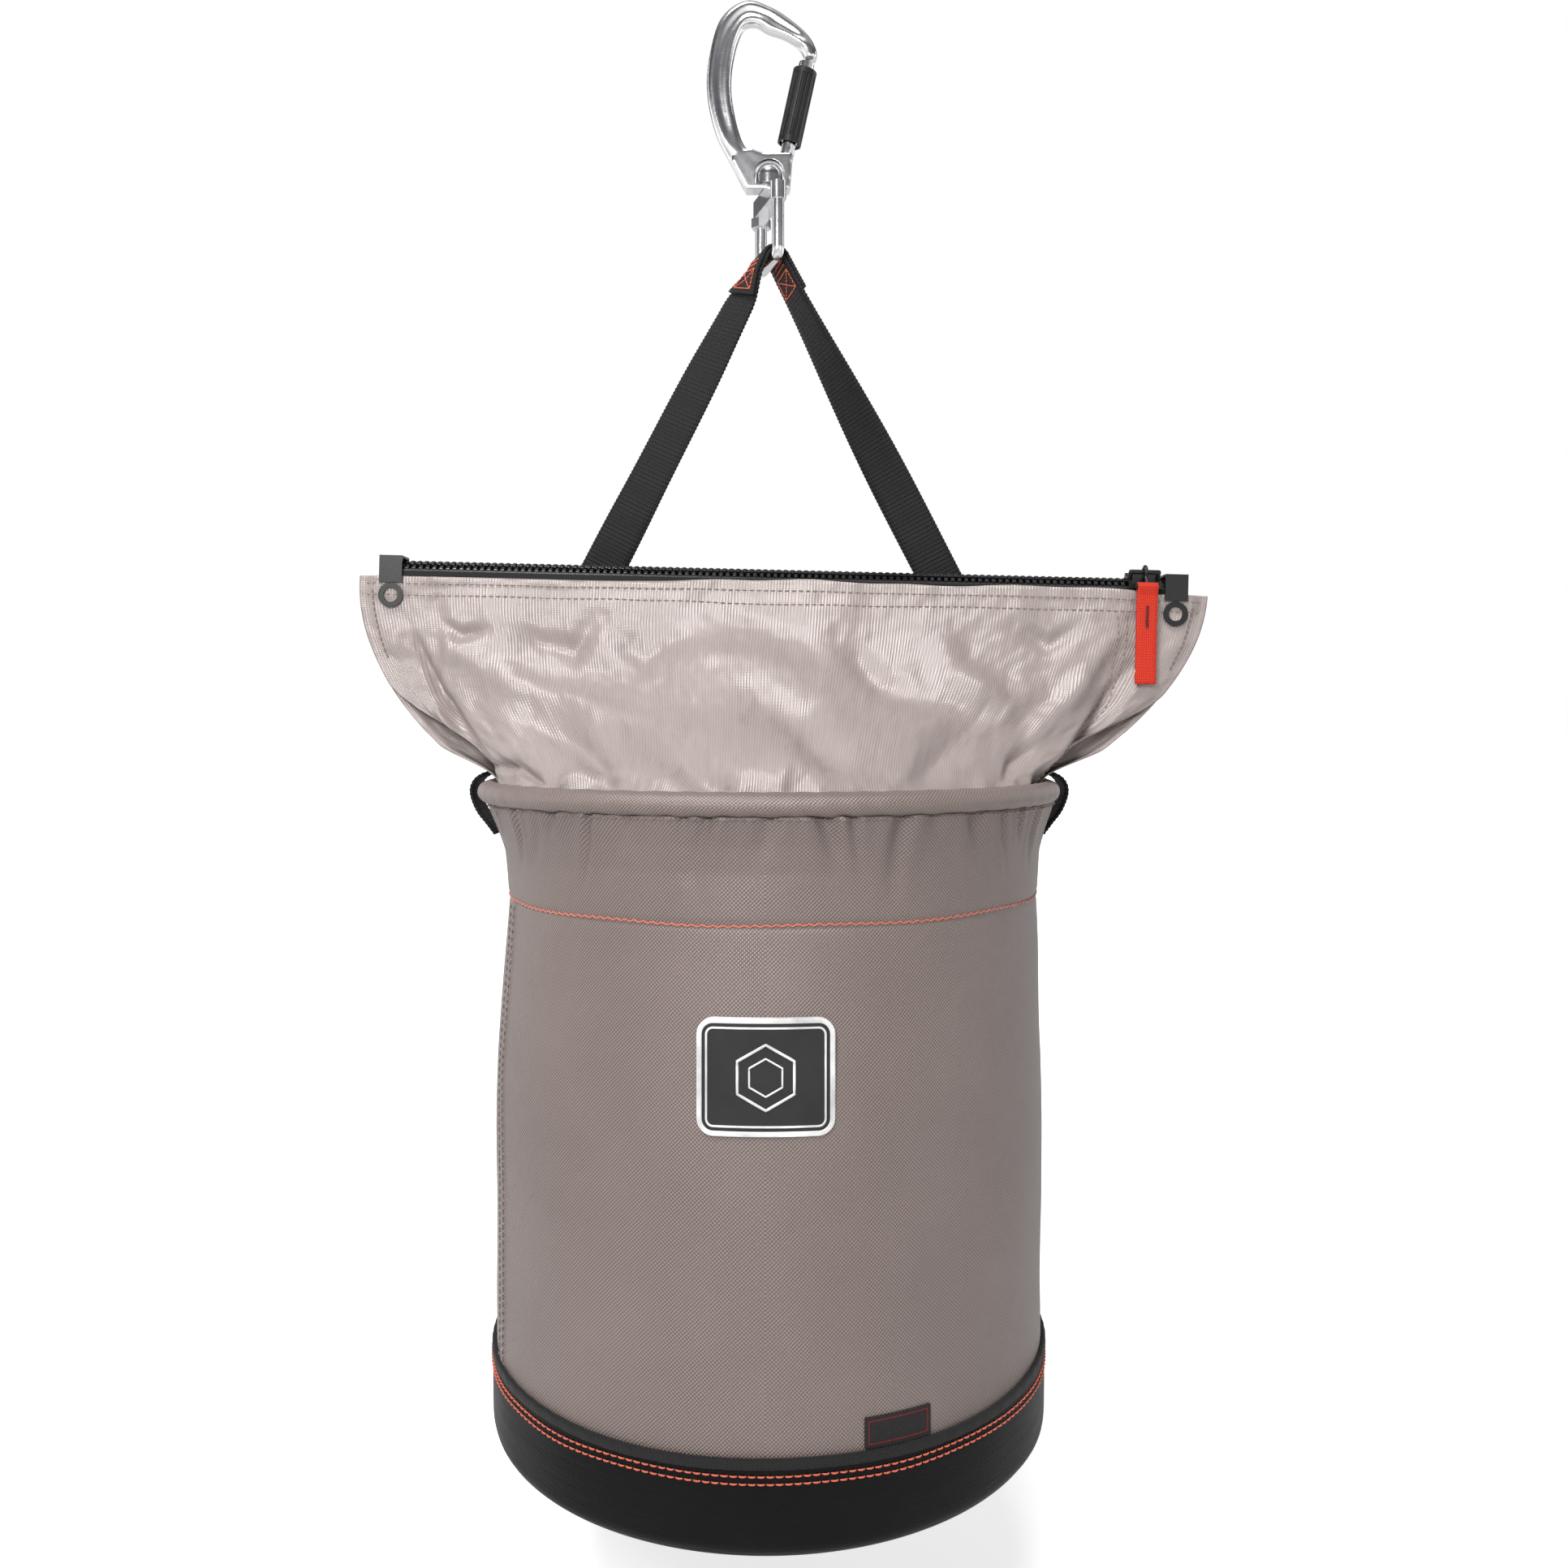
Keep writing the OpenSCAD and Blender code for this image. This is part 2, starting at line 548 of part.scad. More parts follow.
module bail() color([0.75, 0.75, 0.77]) at_bar() {
    for (e = [-1, 1]) {
        translate([0, e * rod_x, bend_r]) cylinder(bail_top - bend_r, r = rod_r);
        translate([0, e * (rod_x - bend_r), bend_r]) rotate([0, 90, 0]) rotate([0, 0, e > 0 ? 0 : -90])
            rotate_extrude(angle = 90) translate([bend_r, 0]) circle(rod_r, $fn = 48);
    }
    rotate([90, 0, 0]) cylinder(2 * (rod_x - bend_r), r = rod_r, center = true);
}

module bail_nut() color([0.7, 0.7, 0.72]) at_bar()
    translate([0, rod_x, bail_top - yoke_h - 5.5]) difference() {
    cylinder(5.5, r = rod_r + 2.6, $fn = 6);
    translate([0, 0, -1]) cylinder(8, r = rod_r);
}

module swivel_yoke() color([0.72, 0.72, 0.74]) at_bar() translate([0, 0, bail_top - yoke_h]) difference() {
    union() {
        translate([-yoke_w / 2, -yoke_l / 2 + yoke_w / 2, 0]) cube([yoke_w, yoke_l - yoke_w, yoke_h]);
        for (e = [-1, 1]) translate([0, e * (yoke_l / 2 - yoke_w / 2), 0]) cylinder(yoke_h, r = yoke_w / 2);
    }
    for (e = [-1, 1]) translate([0, e * rod_x, -1]) cylinder(yoke_h + 2, r = rod_r);
    translate([0, 0, -1]) cylinder(yoke_h + 2, r = stem_r);
}

module swivel_stem() color([0.8, 0.8, 0.82]) at_bar() translate([0, 0, bail_h]) rotate_extrude() {
    head_z = boss_floor + clear;
    translate([0, -yoke_gap - yoke_h]) square([stem_r, yoke_gap + yoke_h + head_z + 1]);
    translate([0, head_z]) square([dome_r, window_z - head_z]);
    intersection() {
        translate([0, window_z]) circle(dome_r);
        translate([0, window_z - eps]) square([dome_r, dome_r + 1]);
    }
}

// ---- Carabiner ----

module at_hook() from_base() translate([0, 0, hook_z]) children();
module hook_plate(t) rotate([90, 0, 0]) linear_extrude(t, center = true) children();

module carabiner_body() color([0.78, 0.78, 0.8]) at_hook() difference() {
    union() {
        hook_plate(hook_t)
            polygon(concat(curve(hook_outer), curve(hook_inner),
                [[boss_right, boss_top], [boss_right - 1.5, 0]]));
        hook_plate(tang_t) {
            translate(gate_foot) circle(tang_r, $fn = 48);
            translate([gate_foot[0] - tang_r, boss_top - 1])
                square([boss_right - gate_foot[0] + tang_r, gate_foot[1] - boss_top + 1 - tang_r * 0.4]);
        }
    }
    hook_plate(hook_t + 2) {
        translate([0, window_z]) circle(window_r);
        translate([-window_r, boss_floor]) square([2 * window_r, window_z - boss_floor]);
    }
    translate([0, 0, -1]) cylinder(boss_floor + 2, r = stem_r + fit_gap);
    translate([gate_foot[0], 0, gate_foot[1]]) rotate([90, 0, 0])
        cylinder(hook_t, r = rivet_r, center = true);
}

module at_gate() at_hook() translate([gate_foot[0], 0, gate_foot[1]]) rotate([0, gate_lean, 0]) children();
slot_top = tang_r + 0.8;
spring_r = 1.7;
spring_l = 20;
sleeve_z = 3.7;
pocket_l = 12;
pocket_r = sleeve_r - 1.1;

module gate_rivet() color([0.6, 0.6, 0.62]) at_gate()
    rotate([90, 0, 0]) cylinder(2 * gate_r - 0.6, r = rivet_r, center = true);

module gate() color([0.75, 0.75, 0.77]) at_gate() difference() {
    intersection() {
        translate([0, 0, -gate_r]) cylinder(gate_l + gate_r, r = gate_r);
        union() {
            rotate([90, 0, 0]) cylinder(4 * gate_r, r = gate_r, center = true);
            translate([-2 * gate_r, -2 * gate_r, 0]) cube([4 * gate_r, 4 * gate_r, gate_l + 1]);
        }
    }
    translate([-2 * gate_r, -tang_t / 2 - slot_gap, -2 * gate_r])
        cube([4 * gate_r, tang_t + 2 * slot_gap, 2 * gate_r + slot_top]);
    rotate([90, 0, 0]) cylinder(4 * gate_r, r = rivet_r + fit_gap, center = true);
    translate([0, 0, slot_top - 1]) cylinder(spring_l + 2, r = spring_r + 0.7);
}

module gate_spring() color([0.5, 0.5, 0.52]) at_gate() translate([0, 0, slot_top])
    coil(spring_r, 0.35, 9, spring_l);

module lock_sleeve() color([0.08, 0.08, 0.08]) at_gate() translate([0, 0, sleeve_z]) difference() {
    cylinder(sleeve_l, r = sleeve_r);
    translate([0, 0, -1]) cylinder(sleeve_l + 2, r = gate_r + fit_gap);
    translate([0, 0, -1]) cylinder(pocket_l + 1, r = pocket_r);
    for (k = [0:15]) rotate([0, 0, k * 22.5]) translate([sleeve_r + 0.3, 0, 3])
        cylinder(sleeve_l - 6, r = 0.8, $fn = 16);
}

module sleeve_spring() color([0.5, 0.5, 0.52]) at_gate() translate([0, 0, sleeve_z + 0.5])
    coil((gate_r + pocket_r) / 2, 0.35, 6, pocket_l - 1);

base_cover();
base_board();
base_edge_tape();
body_panel();
rim_hoop();
rim_binding();
front_badge();
side_tag();
collar_front();
collar_back();
zip_tape_front();
zip_tape_back();
zip_teeth_front();
zip_teeth_back();
corner_tab_left();
corner_tab_right();
grommet_left();
grommet_right();
grommet_washer_left();
grommet_washer_right();
anchor_left();
anchor_right();
zip_slider();
pull_link();
pull_tab();
strap();
strap_wrap();
bail();
bail_nut();
swivel_yoke();
swivel_stem();
carabiner_body();
gate_rivet();
gate();
gate_spring();
lock_sleeve();
sleeve_spring();
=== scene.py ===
"""Hoist tool bucket with a zip top: cloth, leather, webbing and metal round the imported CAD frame.

Lengths in the helpers are millimetres over the middle of the bucket's underside; place() turns
them into the row frame's metres. Angles round the bucket start at the front and grow towards +X.
"""
import math

import bpy
import bmesh
import numpy as np
from mathutils import Matrix, Vector, noise


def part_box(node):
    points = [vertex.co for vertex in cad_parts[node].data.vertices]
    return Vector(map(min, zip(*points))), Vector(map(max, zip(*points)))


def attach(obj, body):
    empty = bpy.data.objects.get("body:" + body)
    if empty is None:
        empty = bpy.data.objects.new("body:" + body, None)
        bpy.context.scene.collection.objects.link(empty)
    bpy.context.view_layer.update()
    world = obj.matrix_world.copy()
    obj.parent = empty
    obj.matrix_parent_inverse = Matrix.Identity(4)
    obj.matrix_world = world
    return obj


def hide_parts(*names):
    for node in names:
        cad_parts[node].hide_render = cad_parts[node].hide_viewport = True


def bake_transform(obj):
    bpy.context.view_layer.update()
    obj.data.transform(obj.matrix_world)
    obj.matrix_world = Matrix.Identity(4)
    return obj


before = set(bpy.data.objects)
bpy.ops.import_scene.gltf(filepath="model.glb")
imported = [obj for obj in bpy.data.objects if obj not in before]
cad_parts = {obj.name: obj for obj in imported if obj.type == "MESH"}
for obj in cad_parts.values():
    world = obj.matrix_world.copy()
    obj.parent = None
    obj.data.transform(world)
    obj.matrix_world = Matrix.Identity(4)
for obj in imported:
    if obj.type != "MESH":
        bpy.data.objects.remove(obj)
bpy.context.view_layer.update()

MM = 0.001
base_lo, base_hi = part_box("base_cover")
ORIGIN = Vector(((base_lo.x + base_hi.x) / 2, (base_lo.y + base_hi.y) / 2, base_lo.z))


def over_base(point):
    """Row metres to millimetres over the underside's middle."""
    return (Vector(point) - ORIGIN) / MM


def place(points):
    """Millimetres over the underside's middle to row metres."""
    return np.asarray(points, float) * MM + np.array(ORIGIN)


# ---- Sizes, in millimetres, from the frame and as the CAD has them ----

BAND_R = over_base(base_hi).x
BAND_H = over_base(base_hi).z
BAND_WALL = 2.0
BODY_R = BAND_R - BAND_WALL
BODY_WALL = 1.6
hoop_lo, hoop_hi = (over_base(p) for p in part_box("rim_binding"))
RIM_Z = (hoop_lo.z + hoop_hi.z) / 2
BINDING_R = (hoop_hi.z - hoop_lo.z) / 2
RIM_R = hoop_hi.x - BINDING_R
HEM_Z = RIM_Z - 58
CLOTH_FOOT = 10.0
HEM_PINCH = 3.0
TAPE_LO, TAPE_HI = (over_base(p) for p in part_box("base_edge_tape"))
SEAM_TURN = math.radians(-67)
GATHERS = 46
TAG_W = 36.0
TAG_TURN = math.radians(24)
CUP_CORNER = 9.0

COLLAR_H = 117.0
COLLAR_HALF = 243.0
COLLAR_SHIFT = 8.5
COLLAR_FWD = 21.0
COLLAR_WALL = 0.9
COLLAR_FULL = 46.0
LOBE_REACH = 0.88
COLLAR_R = RIM_R - BINDING_R - 0.1
RING_TURN = 11.0
EAR_GAP = 1.6
RING_X = 224.0
RING_DROP = 17.0
FACING = {-1: "front", 1: "back"}
ZIP_HALF = {-1: 4.4, 1: 5.6}
ZIP_Z = RIM_Z + COLLAR_H + 6
ZIP_TILT = math.radians(1.4)
ZIP_ROLL = math.radians(35)
ZIP_L = 448.0
TOOTH_PITCH = 3.9
ROW_EDGE = 4.9
SLIDER_X = 206.0
TAB_W = 11.7
TAB_L = 56.0
PULL_STOP_X = -198.0
PULL_LOW_Z = 390.0

WEB_W = 25.0
WEB_T = 2.2
STRAP_H = 309.0
STRAP_FOOT = 24.0
WRAP_L = 24.0
BAIL_TURN = math.radians(18)
ARCH_R = 4.9
FOOT_X = (RIM_R - 2) * (STRAP_H - STRAP_FOOT) / (STRAP_H - 9)
BAR_Z = RIM_Z + STRAP_H
HOOK_Z = BAR_Z + 42.5

# ---- Shader helpers ----


class Nodes:
    """A node tree: nodes are added by name, and their inputs are values or other nodes' outputs."""

    def __init__(self, tree):
        self.tree = tree

    def put(self, source, target):
        self.tree.links.new(source, target)

    def node(self, kind, inputs=(), **settings):
        made = self.tree.nodes.new(kind)
        for key, value in settings.items():
            setattr(made, key, value)
        for key, value in dict(inputs).items():
            if isinstance(value, bpy.types.NodeSocket):
                self.put(value, made.inputs[key])
            else:
                made.inputs[key].default_value = value
        return made

    def math(self, operation, a, b):
        return self.node("ShaderNodeMath", {0: a, 1: b}, operation=operation).outputs["Value"]

    def mix(self, *parts):
        """Sum of outputs, each with its weight."""
        weighted = [self.math("MULTIPLY", output, weight) for output, weight in parts]
        total = weighted[0]
        for part in weighted[1:]:
            total = self.math("ADD", total, part)
        return total

    def ramp(self, fac, stops):
        """Colour ramp of (position, colour) stops."""
        made = self.node("ShaderNodeValToRGB", {"Fac": fac})
        elements = made.color_ramp.elements
        for element, (position, color) in zip(elements, (stops[0], stops[-1])):
            element.position, element.color = position, (*color, 1)
        for position, color in stops[1:-1]:
            elements.new(position).color = (*color, 1)
        return made.outputs["Color"]

    def spread(self, fac, low, high):
        """Takes 0 to 1 to low to high."""
        made = self.node("ShaderNodeMapRange", {"Value": fac, "To Min": low, "To Max": high})
        return made.outputs["Result"]


class Shader(Nodes):
    """One procedural material round a Principled BSDF."""

    def __init__(self, name, color, roughness, metallic=0.0, sheen=0.0, specular=0.5, coat=0.0):
        self.material = bpy.data.materials.new(name)
        self.material.use_nodes = True
        super().__init__(self.material.node_tree)
        self.inputs = self.tree.nodes["Principled BSDF"].inputs
        values = {"Base Color": (*color, 1), "Roughness": roughness, "Metallic": metallic,
                  "Sheen Weight": sheen, "Specular IOR Level": specular, "Coat Weight": coat}
        for socket, value in values.items():
            self.inputs[socket].default_value = value
        self.bumps = None

    def coords(self, layer=None, scale=(1, 1, 1), turn=0.0):
        """Coordinates in metres: a UV layer's, or the object's own. turn is in degrees."""
        if layer:
            start = self.node("ShaderNodeUVMap", uv_map=layer).outputs["UV"]
        else:
            start = self.node("ShaderNodeTexCoord").outputs["Object"]
        turned = (0, 0, math.radians(turn))
        made = self.node("ShaderNodeMapping", {"Vector": start, "Scale": scale, "Rotation": turned})
        return made.outputs["Vector"]

    def noise(self, at, scale, detail=3.0, rough=0.55):
        inputs = {"Vector": at, "Scale": scale, "Detail": detail, "Roughness": rough}
        return self.node("ShaderNodeTexNoise", inputs).outputs["Fac"]

    def wave(self, at, pitch, distortion=0.0):
        """Bands across the coordinates' first axis, pitch metres apart."""
        inputs = {"Vector": at, "Scale": 2 * math.pi / 20 / pitch, "Distortion": distortion, "Detail": 1.0}
        return self.node("ShaderNodeTexWave", inputs, wave_type="BANDS", bands_direction="X",
                         wave_profile="SIN").outputs["Fac"]

    def color(self, fac, stops):
        self.put(self.ramp(fac, stops), self.inputs["Base Color"])

    def roughness(self, fac, low, high):
        self.put(self.spread(fac, low, high), self.inputs["Roughness"])

    def bump(self, height, distance, strength=1.0):
        """Adds a relief, distance metres deep, over those already there."""
        inputs = {"Height": height, "Distance": distance, "Strength": strength}
        if self.bumps:
            inputs["Normal"] = self.bumps
        self.bumps = self.node("ShaderNodeBump", inputs).outputs["Normal"]
        self.put(self.bumps, self.inputs["Normal"])


def shade(color, factor):
    return tuple(min(1.0, c * factor) for c in color)


def rgb(*channels):
    """Linear colour of an sRGB one given from 0 to 255."""
    parts = (c / 255 for c in channels)
    return tuple(p / 12.92 if p <= 0.04045 else ((p + 0.055) / 1.055) ** 2.4 for p in parts)


def twill(name, color, pitch, roughness, sheen):
    """Woven cloth: fine diagonal lines broken into threads, with slow shade changes."""
    s = Shader(name, color, roughness, sheen=sheen, specular=0.8)
    at = s.coords("cloth")
    lines, threads = (s.wave(s.coords("cloth", turn=turn), pitch, 0.4) for turn in (45, -45))
    weave = s.mix((lines, 0.6), (threads, 0.4))
    slow = s.noise(at, 14.0)
    tone = s.mix((weave, 0.66), (slow, 0.2), (s.noise(at, 900.0, 2.0), 0.14))
    s.color(tone, [(0.2, shade(color, 0.5)), (0.5, shade(color, 0.95)), (0.8, shade(color, 1.75))])
    s.roughness(tone, roughness + 0.1, roughness - 0.08)
    s.bump(weave, 0.00035, 0.75)
    s.bump(slow, 0.0012, 0.3)
    return s.material


def ribbed_satin(name, color, pitch, roughness):
    """Smooth cloth with fine upright ribs, which catches soft bright folds."""
    s = Shader(name, color, roughness, sheen=0.04, specular=0.8)
    at = s.coords("cloth")
    ribs = s.wave(at, pitch, 0.8)
    rows = s.wave(s.coords("cloth", turn=90), pitch * 0.7, 0.5)
    streak = s.noise(s.coords("cloth", scale=(9, 1, 1)), 40.0)
    slow = s.noise(at, 16.0)
    tone = s.mix((ribs, 0.34), (streak, 0.3), (slow, 0.36))
    s.color(tone, [(0.2, shade(color, 0.8)), (0.5, color), (0.8, shade(color, 1.16))])
    s.roughness(tone, roughness + 0.08, roughness - 0.08)
    s.bump(s.math("ADD", ribs, s.math("MULTIPLY", rows, 0.4)), 0.00018, 0.7)
    s.bump(slow, 0.012, 0.8)
    s.bump(s.noise(at, 42.0, 2.0), 0.0035, 0.7)
    return s.material


def leather(name, color):
    """Coated hide: grain drawn out round the bucket, fine creases and a scuffed sheen."""
    s = Shader(name, color, 0.42, specular=0.12)
    drawn = s.coords("cloth", scale=(0.35, 1, 1))
    cells = s.node("ShaderNodeTexVoronoi", {"Vector": drawn, "Scale": 620.0}, feature="DISTANCE_TO_EDGE")
    creases = s.noise(s.coords("cloth", scale=(0.12, 1, 1)), 160.0, 5.0, 0.7)
    scuffs = s.noise(s.coords("cloth"), 24.0, 4.0, 0.6)
    s.color(scuffs, [(0.3, shade(color, 0.7)), (0.55, color), (0.8, shade(color, 1.9))])
    s.roughness(s.mix((creases, 0.5), (scuffs, 0.5)), 0.3, 0.6)
    s.bump(creases, 0.0007, 0.55)
    s.bump(cells.outputs["Distance"], 0.00025, 0.6)
    return s.material


def webbing(name, color, roughness, pitch):
    """Narrow woven tape: cross ribs, long cords and worn fibre tips."""
    s = Shader(name, color, roughness, sheen=0.05, specular=0.3)
    across = s.coords("cloth")
    picks = s.wave(s.coords("cloth", turn=90), pitch * 0.8, 0.3)
    weave = s.math("MULTIPLY", s.wave(across, pitch, 0.3), picks)
    tone = s.mix((weave, 0.6), (s.noise(across, 1500.0, 2.0), 0.4))
    s.color(tone, [(0.1, shade(color, 0.55)), (0.45, color), (0.9, shade(color, 2.0))])
    s.roughness(tone, roughness + 0.1, roughness - 0.1)
    s.bump(weave, 0.0004, 0.8)
    return s.material


def metal(name, color, roughness, brushed=0.0):
    """Polished or plated metal with faint handling marks."""
    s = Shader(name, color, roughness, metallic=1.0)
    marks = s.noise(s.coords(scale=(1, 1, 6)), 260.0, 4.0, 0.65)
    clouds = s.noise(s.coords(), 45.0)
    s.roughness(s.mix((marks, 0.5), (clouds, 0.5)), roughness * 0.6, roughness * 1.7)
    s.color(clouds, [(0.3, shade(color, 0.9)), (0.7, color)])
    s.bump(marks, 0.00006, 0.25 + brushed)
    return s.material


def moulding(name, color, roughness, coat=0.0):
    """Moulded plastic or enamel: a fine tooled grain and patches of tone and gloss."""
    s = Shader(name, color, roughness, coat=coat)
    at = s.coords()
    patch = s.noise(at, 60.0)
    s.color(patch, [(0.3, shade(color, 0.75)), (0.7, shade(color, 1.35))])
    s.roughness(patch, roughness - 0.08, roughness + 0.1)
    s.bump(s.noise(at, 1400.0, 2.0), 0.00008, 0.5)
    return s.material


def thread(name, color):
    """Sewing thread: twisted strands."""
    s = Shader(name, color, 0.55, sheen=0.3)
    strands = s.wave(s.coords(turn=30), 0.0006, 1.0)
    s.color(strands, [(0.1, shade(color, 0.65)), (0.8, shade(color, 1.2))])
    s.bump(strands, 0.0001, 0.6)
    return s.material


BODY_CLOTH = twill("body_cloth", rgb(111, 97, 92), 0.0014, 0.44, 0.05)
BINDING_CLOTH = twill("binding_cloth", rgb(115, 101, 95), 0.0014, 0.44, 0.05)
COLLAR_CLOTH = ribbed_satin("collar_cloth", rgb(155, 143, 139), 0.0017, 0.34)
LEATHER = leather("base_leather", rgb(10, 10, 11))
TAPE = webbing("black_tape", rgb(14, 14, 15), 0.62, 0.0011)
WEB_BLACK = webbing("strap_webbing", rgb(15, 15, 15), 0.62, 0.0016)
WEB_RED = webbing("red_webbing", rgb(214, 48, 24), 0.6, 0.0012)
VINYL = moulding("tab_vinyl", rgb(14, 14, 15), 0.42)
TOOTH = moulding("zip_moulding", rgb(20, 20, 21), 0.24, 0.25)
BLACK_METAL = moulding("black_enamel", rgb(12, 12, 13), 0.36)
SLEEVE = moulding("sleeve_moulding", rgb(12, 12, 13), 0.42)
BOARD = moulding("stiff_board", rgb(60, 60, 62), 0.7)
ALLOY = metal("polished_alloy", (0.86, 0.86, 0.87), 0.16)
STEEL = metal("bail_steel", (0.78, 0.78, 0.79), 0.16)
SPRING = metal("spring_steel", (0.6, 0.6, 0.62), 0.3, 0.3)
ORANGE = thread("thread_orange", rgb(214, 88, 52))
CORAL = thread("thread_coral", rgb(205, 104, 80))
TAUPE = thread("thread_taupe", rgb(122, 108, 102))
PALE_TAUPE = thread("thread_pale", rgb(150, 134, 126))
BLACK_THREAD = thread("thread_black", rgb(24, 22, 22))
BADGE_DARK = moulding("badge_field", rgb(22, 22, 24), 0.5)
BADGE_PALE = moulding("badge_line", rgb(206, 206, 205), 0.45)
TAG_DARK = webbing("tag_field", rgb(30, 27, 28), 0.7, 0.0008)
TAG_RED = webbing("tag_border", rgb(120, 26, 24), 0.65, 0.0008)

# ---- Mesh helpers ----


def add_mesh(name, points, faces, materials, uvs=None, picks=None, smooth=True):
    """A mesh object from millimetre points. uvs is one pair for each face corner, in metres."""
    mesh = bpy.data.meshes.new(name)
    mesh.from_pydata(place(points).tolist(), [], faces)
    for m in materials if isinstance(materials, (list, tuple)) else [materials]:
        mesh.materials.append(m)
    if uvs is not None:
        layer = mesh.uv_layers.new(name="cloth")
        layer.data.foreach_set("uv", np.asarray(uvs, np.float32).ravel())
    if picks is not None:
        mesh.polygons.foreach_set("material_index", np.asarray(picks, np.int32))
    mesh.polygons.foreach_set("use_smooth", np.full(len(mesh.polygons), smooth))
    mesh.update()
    made = bpy.data.objects.new(name, mesh)
    bpy.context.scene.collection.objects.link(made)
    return made


def outward(obj):
    """Turns all faces of a closed mesh outwards."""
    bm = bmesh.new()
    bm.from_mesh(obj.data)
    bmesh.ops.recalc_face_normals(bm, faces=bm.faces)
    bm.to_mesh(obj.data)
    bm.free()
    return obj


def unit(values):
    """Vectors along the last axis, made one long."""
    return values / np.maximum(np.linalg.norm(values, axis=-1, keepdims=True), 1e-9)


def tangents(path):
    return unit(np.gradient(path, axis=0))


def run_length(path):
    """Distance along a path at each of its points."""
    return np.concatenate([[0], np.cumsum(np.linalg.norm(np.diff(path, axis=0), axis=1))])


def columns(at, run, values):
    """Values of each column at new places along a run."""
    return np.stack([np.interp(at, run, values[:, k]) for k in range(values.shape[1])], -1)


def turns(count):
    """Angles right round, the end left out."""
    return np.linspace(0, 2 * math.pi, count, endpoint=False)


def around(turn, r, z):
    """Points at a radius and a height round the bucket."""
    return np.stack([r * np.sin(turn), -r * np.cos(turn), z + 0 * turn], -1)


def quads(rows, cols, wrap_rows=False, wrap_cols=False):
    """Row and column of each cell of a grid, and its four corners' numbers."""
    i, j = np.meshgrid(np.arange(rows - (not wrap_rows)), np.arange(cols - (not wrap_cols)), indexing="ij")
    h, k = (i + 1) % rows, (j + 1) % cols
    return i, j, np.stack([i * cols + j, i * cols + k, h * cols + k, h * cols + j], -1).reshape(-1, 4)


def tube_faces(rows, sides):
    """Faces of a tube of rings, with both ends closed."""
    ends = [list(range(sides))[::-1], list(range((rows - 1) * sides, rows * sides))]
    return quads(rows, sides, wrap_cols=True)[2].tolist() + ends


def corners(low_u, high_u, low_v, high_v):
    """Cloth coordinates in metres of the four corners of each face."""
    u = np.stack([low_u, high_u, high_u, low_u], -1)
    return np.stack([u, np.stack([low_v, low_v, high_v, high_v], -1)], -1) * MM


def grid_normals(grid, closed=False):
    """Unit normals of a grid of points, rows by columns."""
    across = np.roll(grid, -1, 1) - np.roll(grid, 1, 1) if closed else np.gradient(grid, axis=1)
    return unit(np.cross(across, np.gradient(grid, axis=0)))


def shell(name, grid, u, v, wall, materials, closed=False, inward=1.0):
    """A closed sheet with real thickness from a grid of points. u and v are millimetres on the cloth."""
    rows, cols = grid.shape[:2]
    inner = grid + inward * wall * grid_normals(grid, closed)
    points = np.concatenate([grid.reshape(-1, 3), inner.reshape(-1, 3)])
    n = rows * cols
    i, j, quad = quads(rows, cols, wrap_cols=closed)
    places = [(i, j), (i, j + 1), (i + 1, j + 1), (i + 1, j)]
    corner = np.stack([np.stack([m[p] for p in places], -1) for m in (u, v)], -1).reshape(-1, 4, 2) * MM
    faces, uvs = [quad, quad[:, ::-1] + n], [corner, corner[:, ::-1]]

    def rim(line, ends):
        a, b = line[:-1], line[1:]
        faces.append(np.stack([a, b, b + n, a + n], -1))
        uvs.append(np.repeat(ends[:-1, None, :], 4, 1) * MM)

    top = np.arange(cols + closed)
    cells, side = top % cols, np.arange(rows) * cols
    rim(cells[::-1], np.stack([u[0, top], v[0, top]], -1)[::-1])
    rim((rows - 1) * cols + cells, np.stack([u[-1, top], v[-1, top]], -1))
    if not closed:
        rim(side, np.stack([u[:, 0], v[:, 0]], -1))
        rim((side + cols - 1)[::-1], np.stack([u[:, -1], v[:, -1]], -1)[::-1])
    uvs = np.concatenate(uvs).reshape(-1, 2)
    return outward(add_mesh(name, points, np.concatenate(faces).tolist(), materials, uvs))


def tube_parts(path, radius, sides=6, closed=False):
    """Points and faces of a round wire along a path; radius may be one value a point."""
    path = np.asarray(path, float)
    along = unit(np.roll(path, -1, 0) - np.roll(path, 1, 0)) if closed else tangents(path)
    side = np.cross(along, [0.13, 0.21, 0.97])
    weak = np.linalg.norm(side, axis=1) < 0.2
    side[weak] = np.cross(along[weak], [0.97, 0.21, 0.1])
    side = unit(side)[:, None]
    up = np.cross(side[:, 0], along)[:, None]
    turn = turns(sides)[None, :, None]
    ring = side * np.cos(turn) + up * np.sin(turn)
    points = (path[:, None] + ring * np.broadcast_to(radius, len(path))[:, None, None]).reshape(-1, 3)
    faces = quads(len(path), sides, True, True)[2].tolist() if closed else tube_faces(len(path), sides)
    return points, faces


def join_parts(parts):
    """Joins [(points, faces)] into one."""
    points, faces, start = [], [], 0
    for p, f in parts:
        points.append(p)
        faces += [[i + start for i in face] for face in f]
        start += len(p)
    return np.concatenate(points), faces


def wire(name, path, radius, material, sides=8, closed=False):
    return outward(add_mesh(name, *tube_parts(path, radius, sides, closed), material))


def resample(path, step):
    """Points evenly spaced along a path, and its length."""
    path = np.asarray(path, float)
    run = run_length(path)
    count = max(2, int(round(run[-1] / step)) + 1)
    return columns(np.linspace(0, run[-1], count), run, path), run[-1]


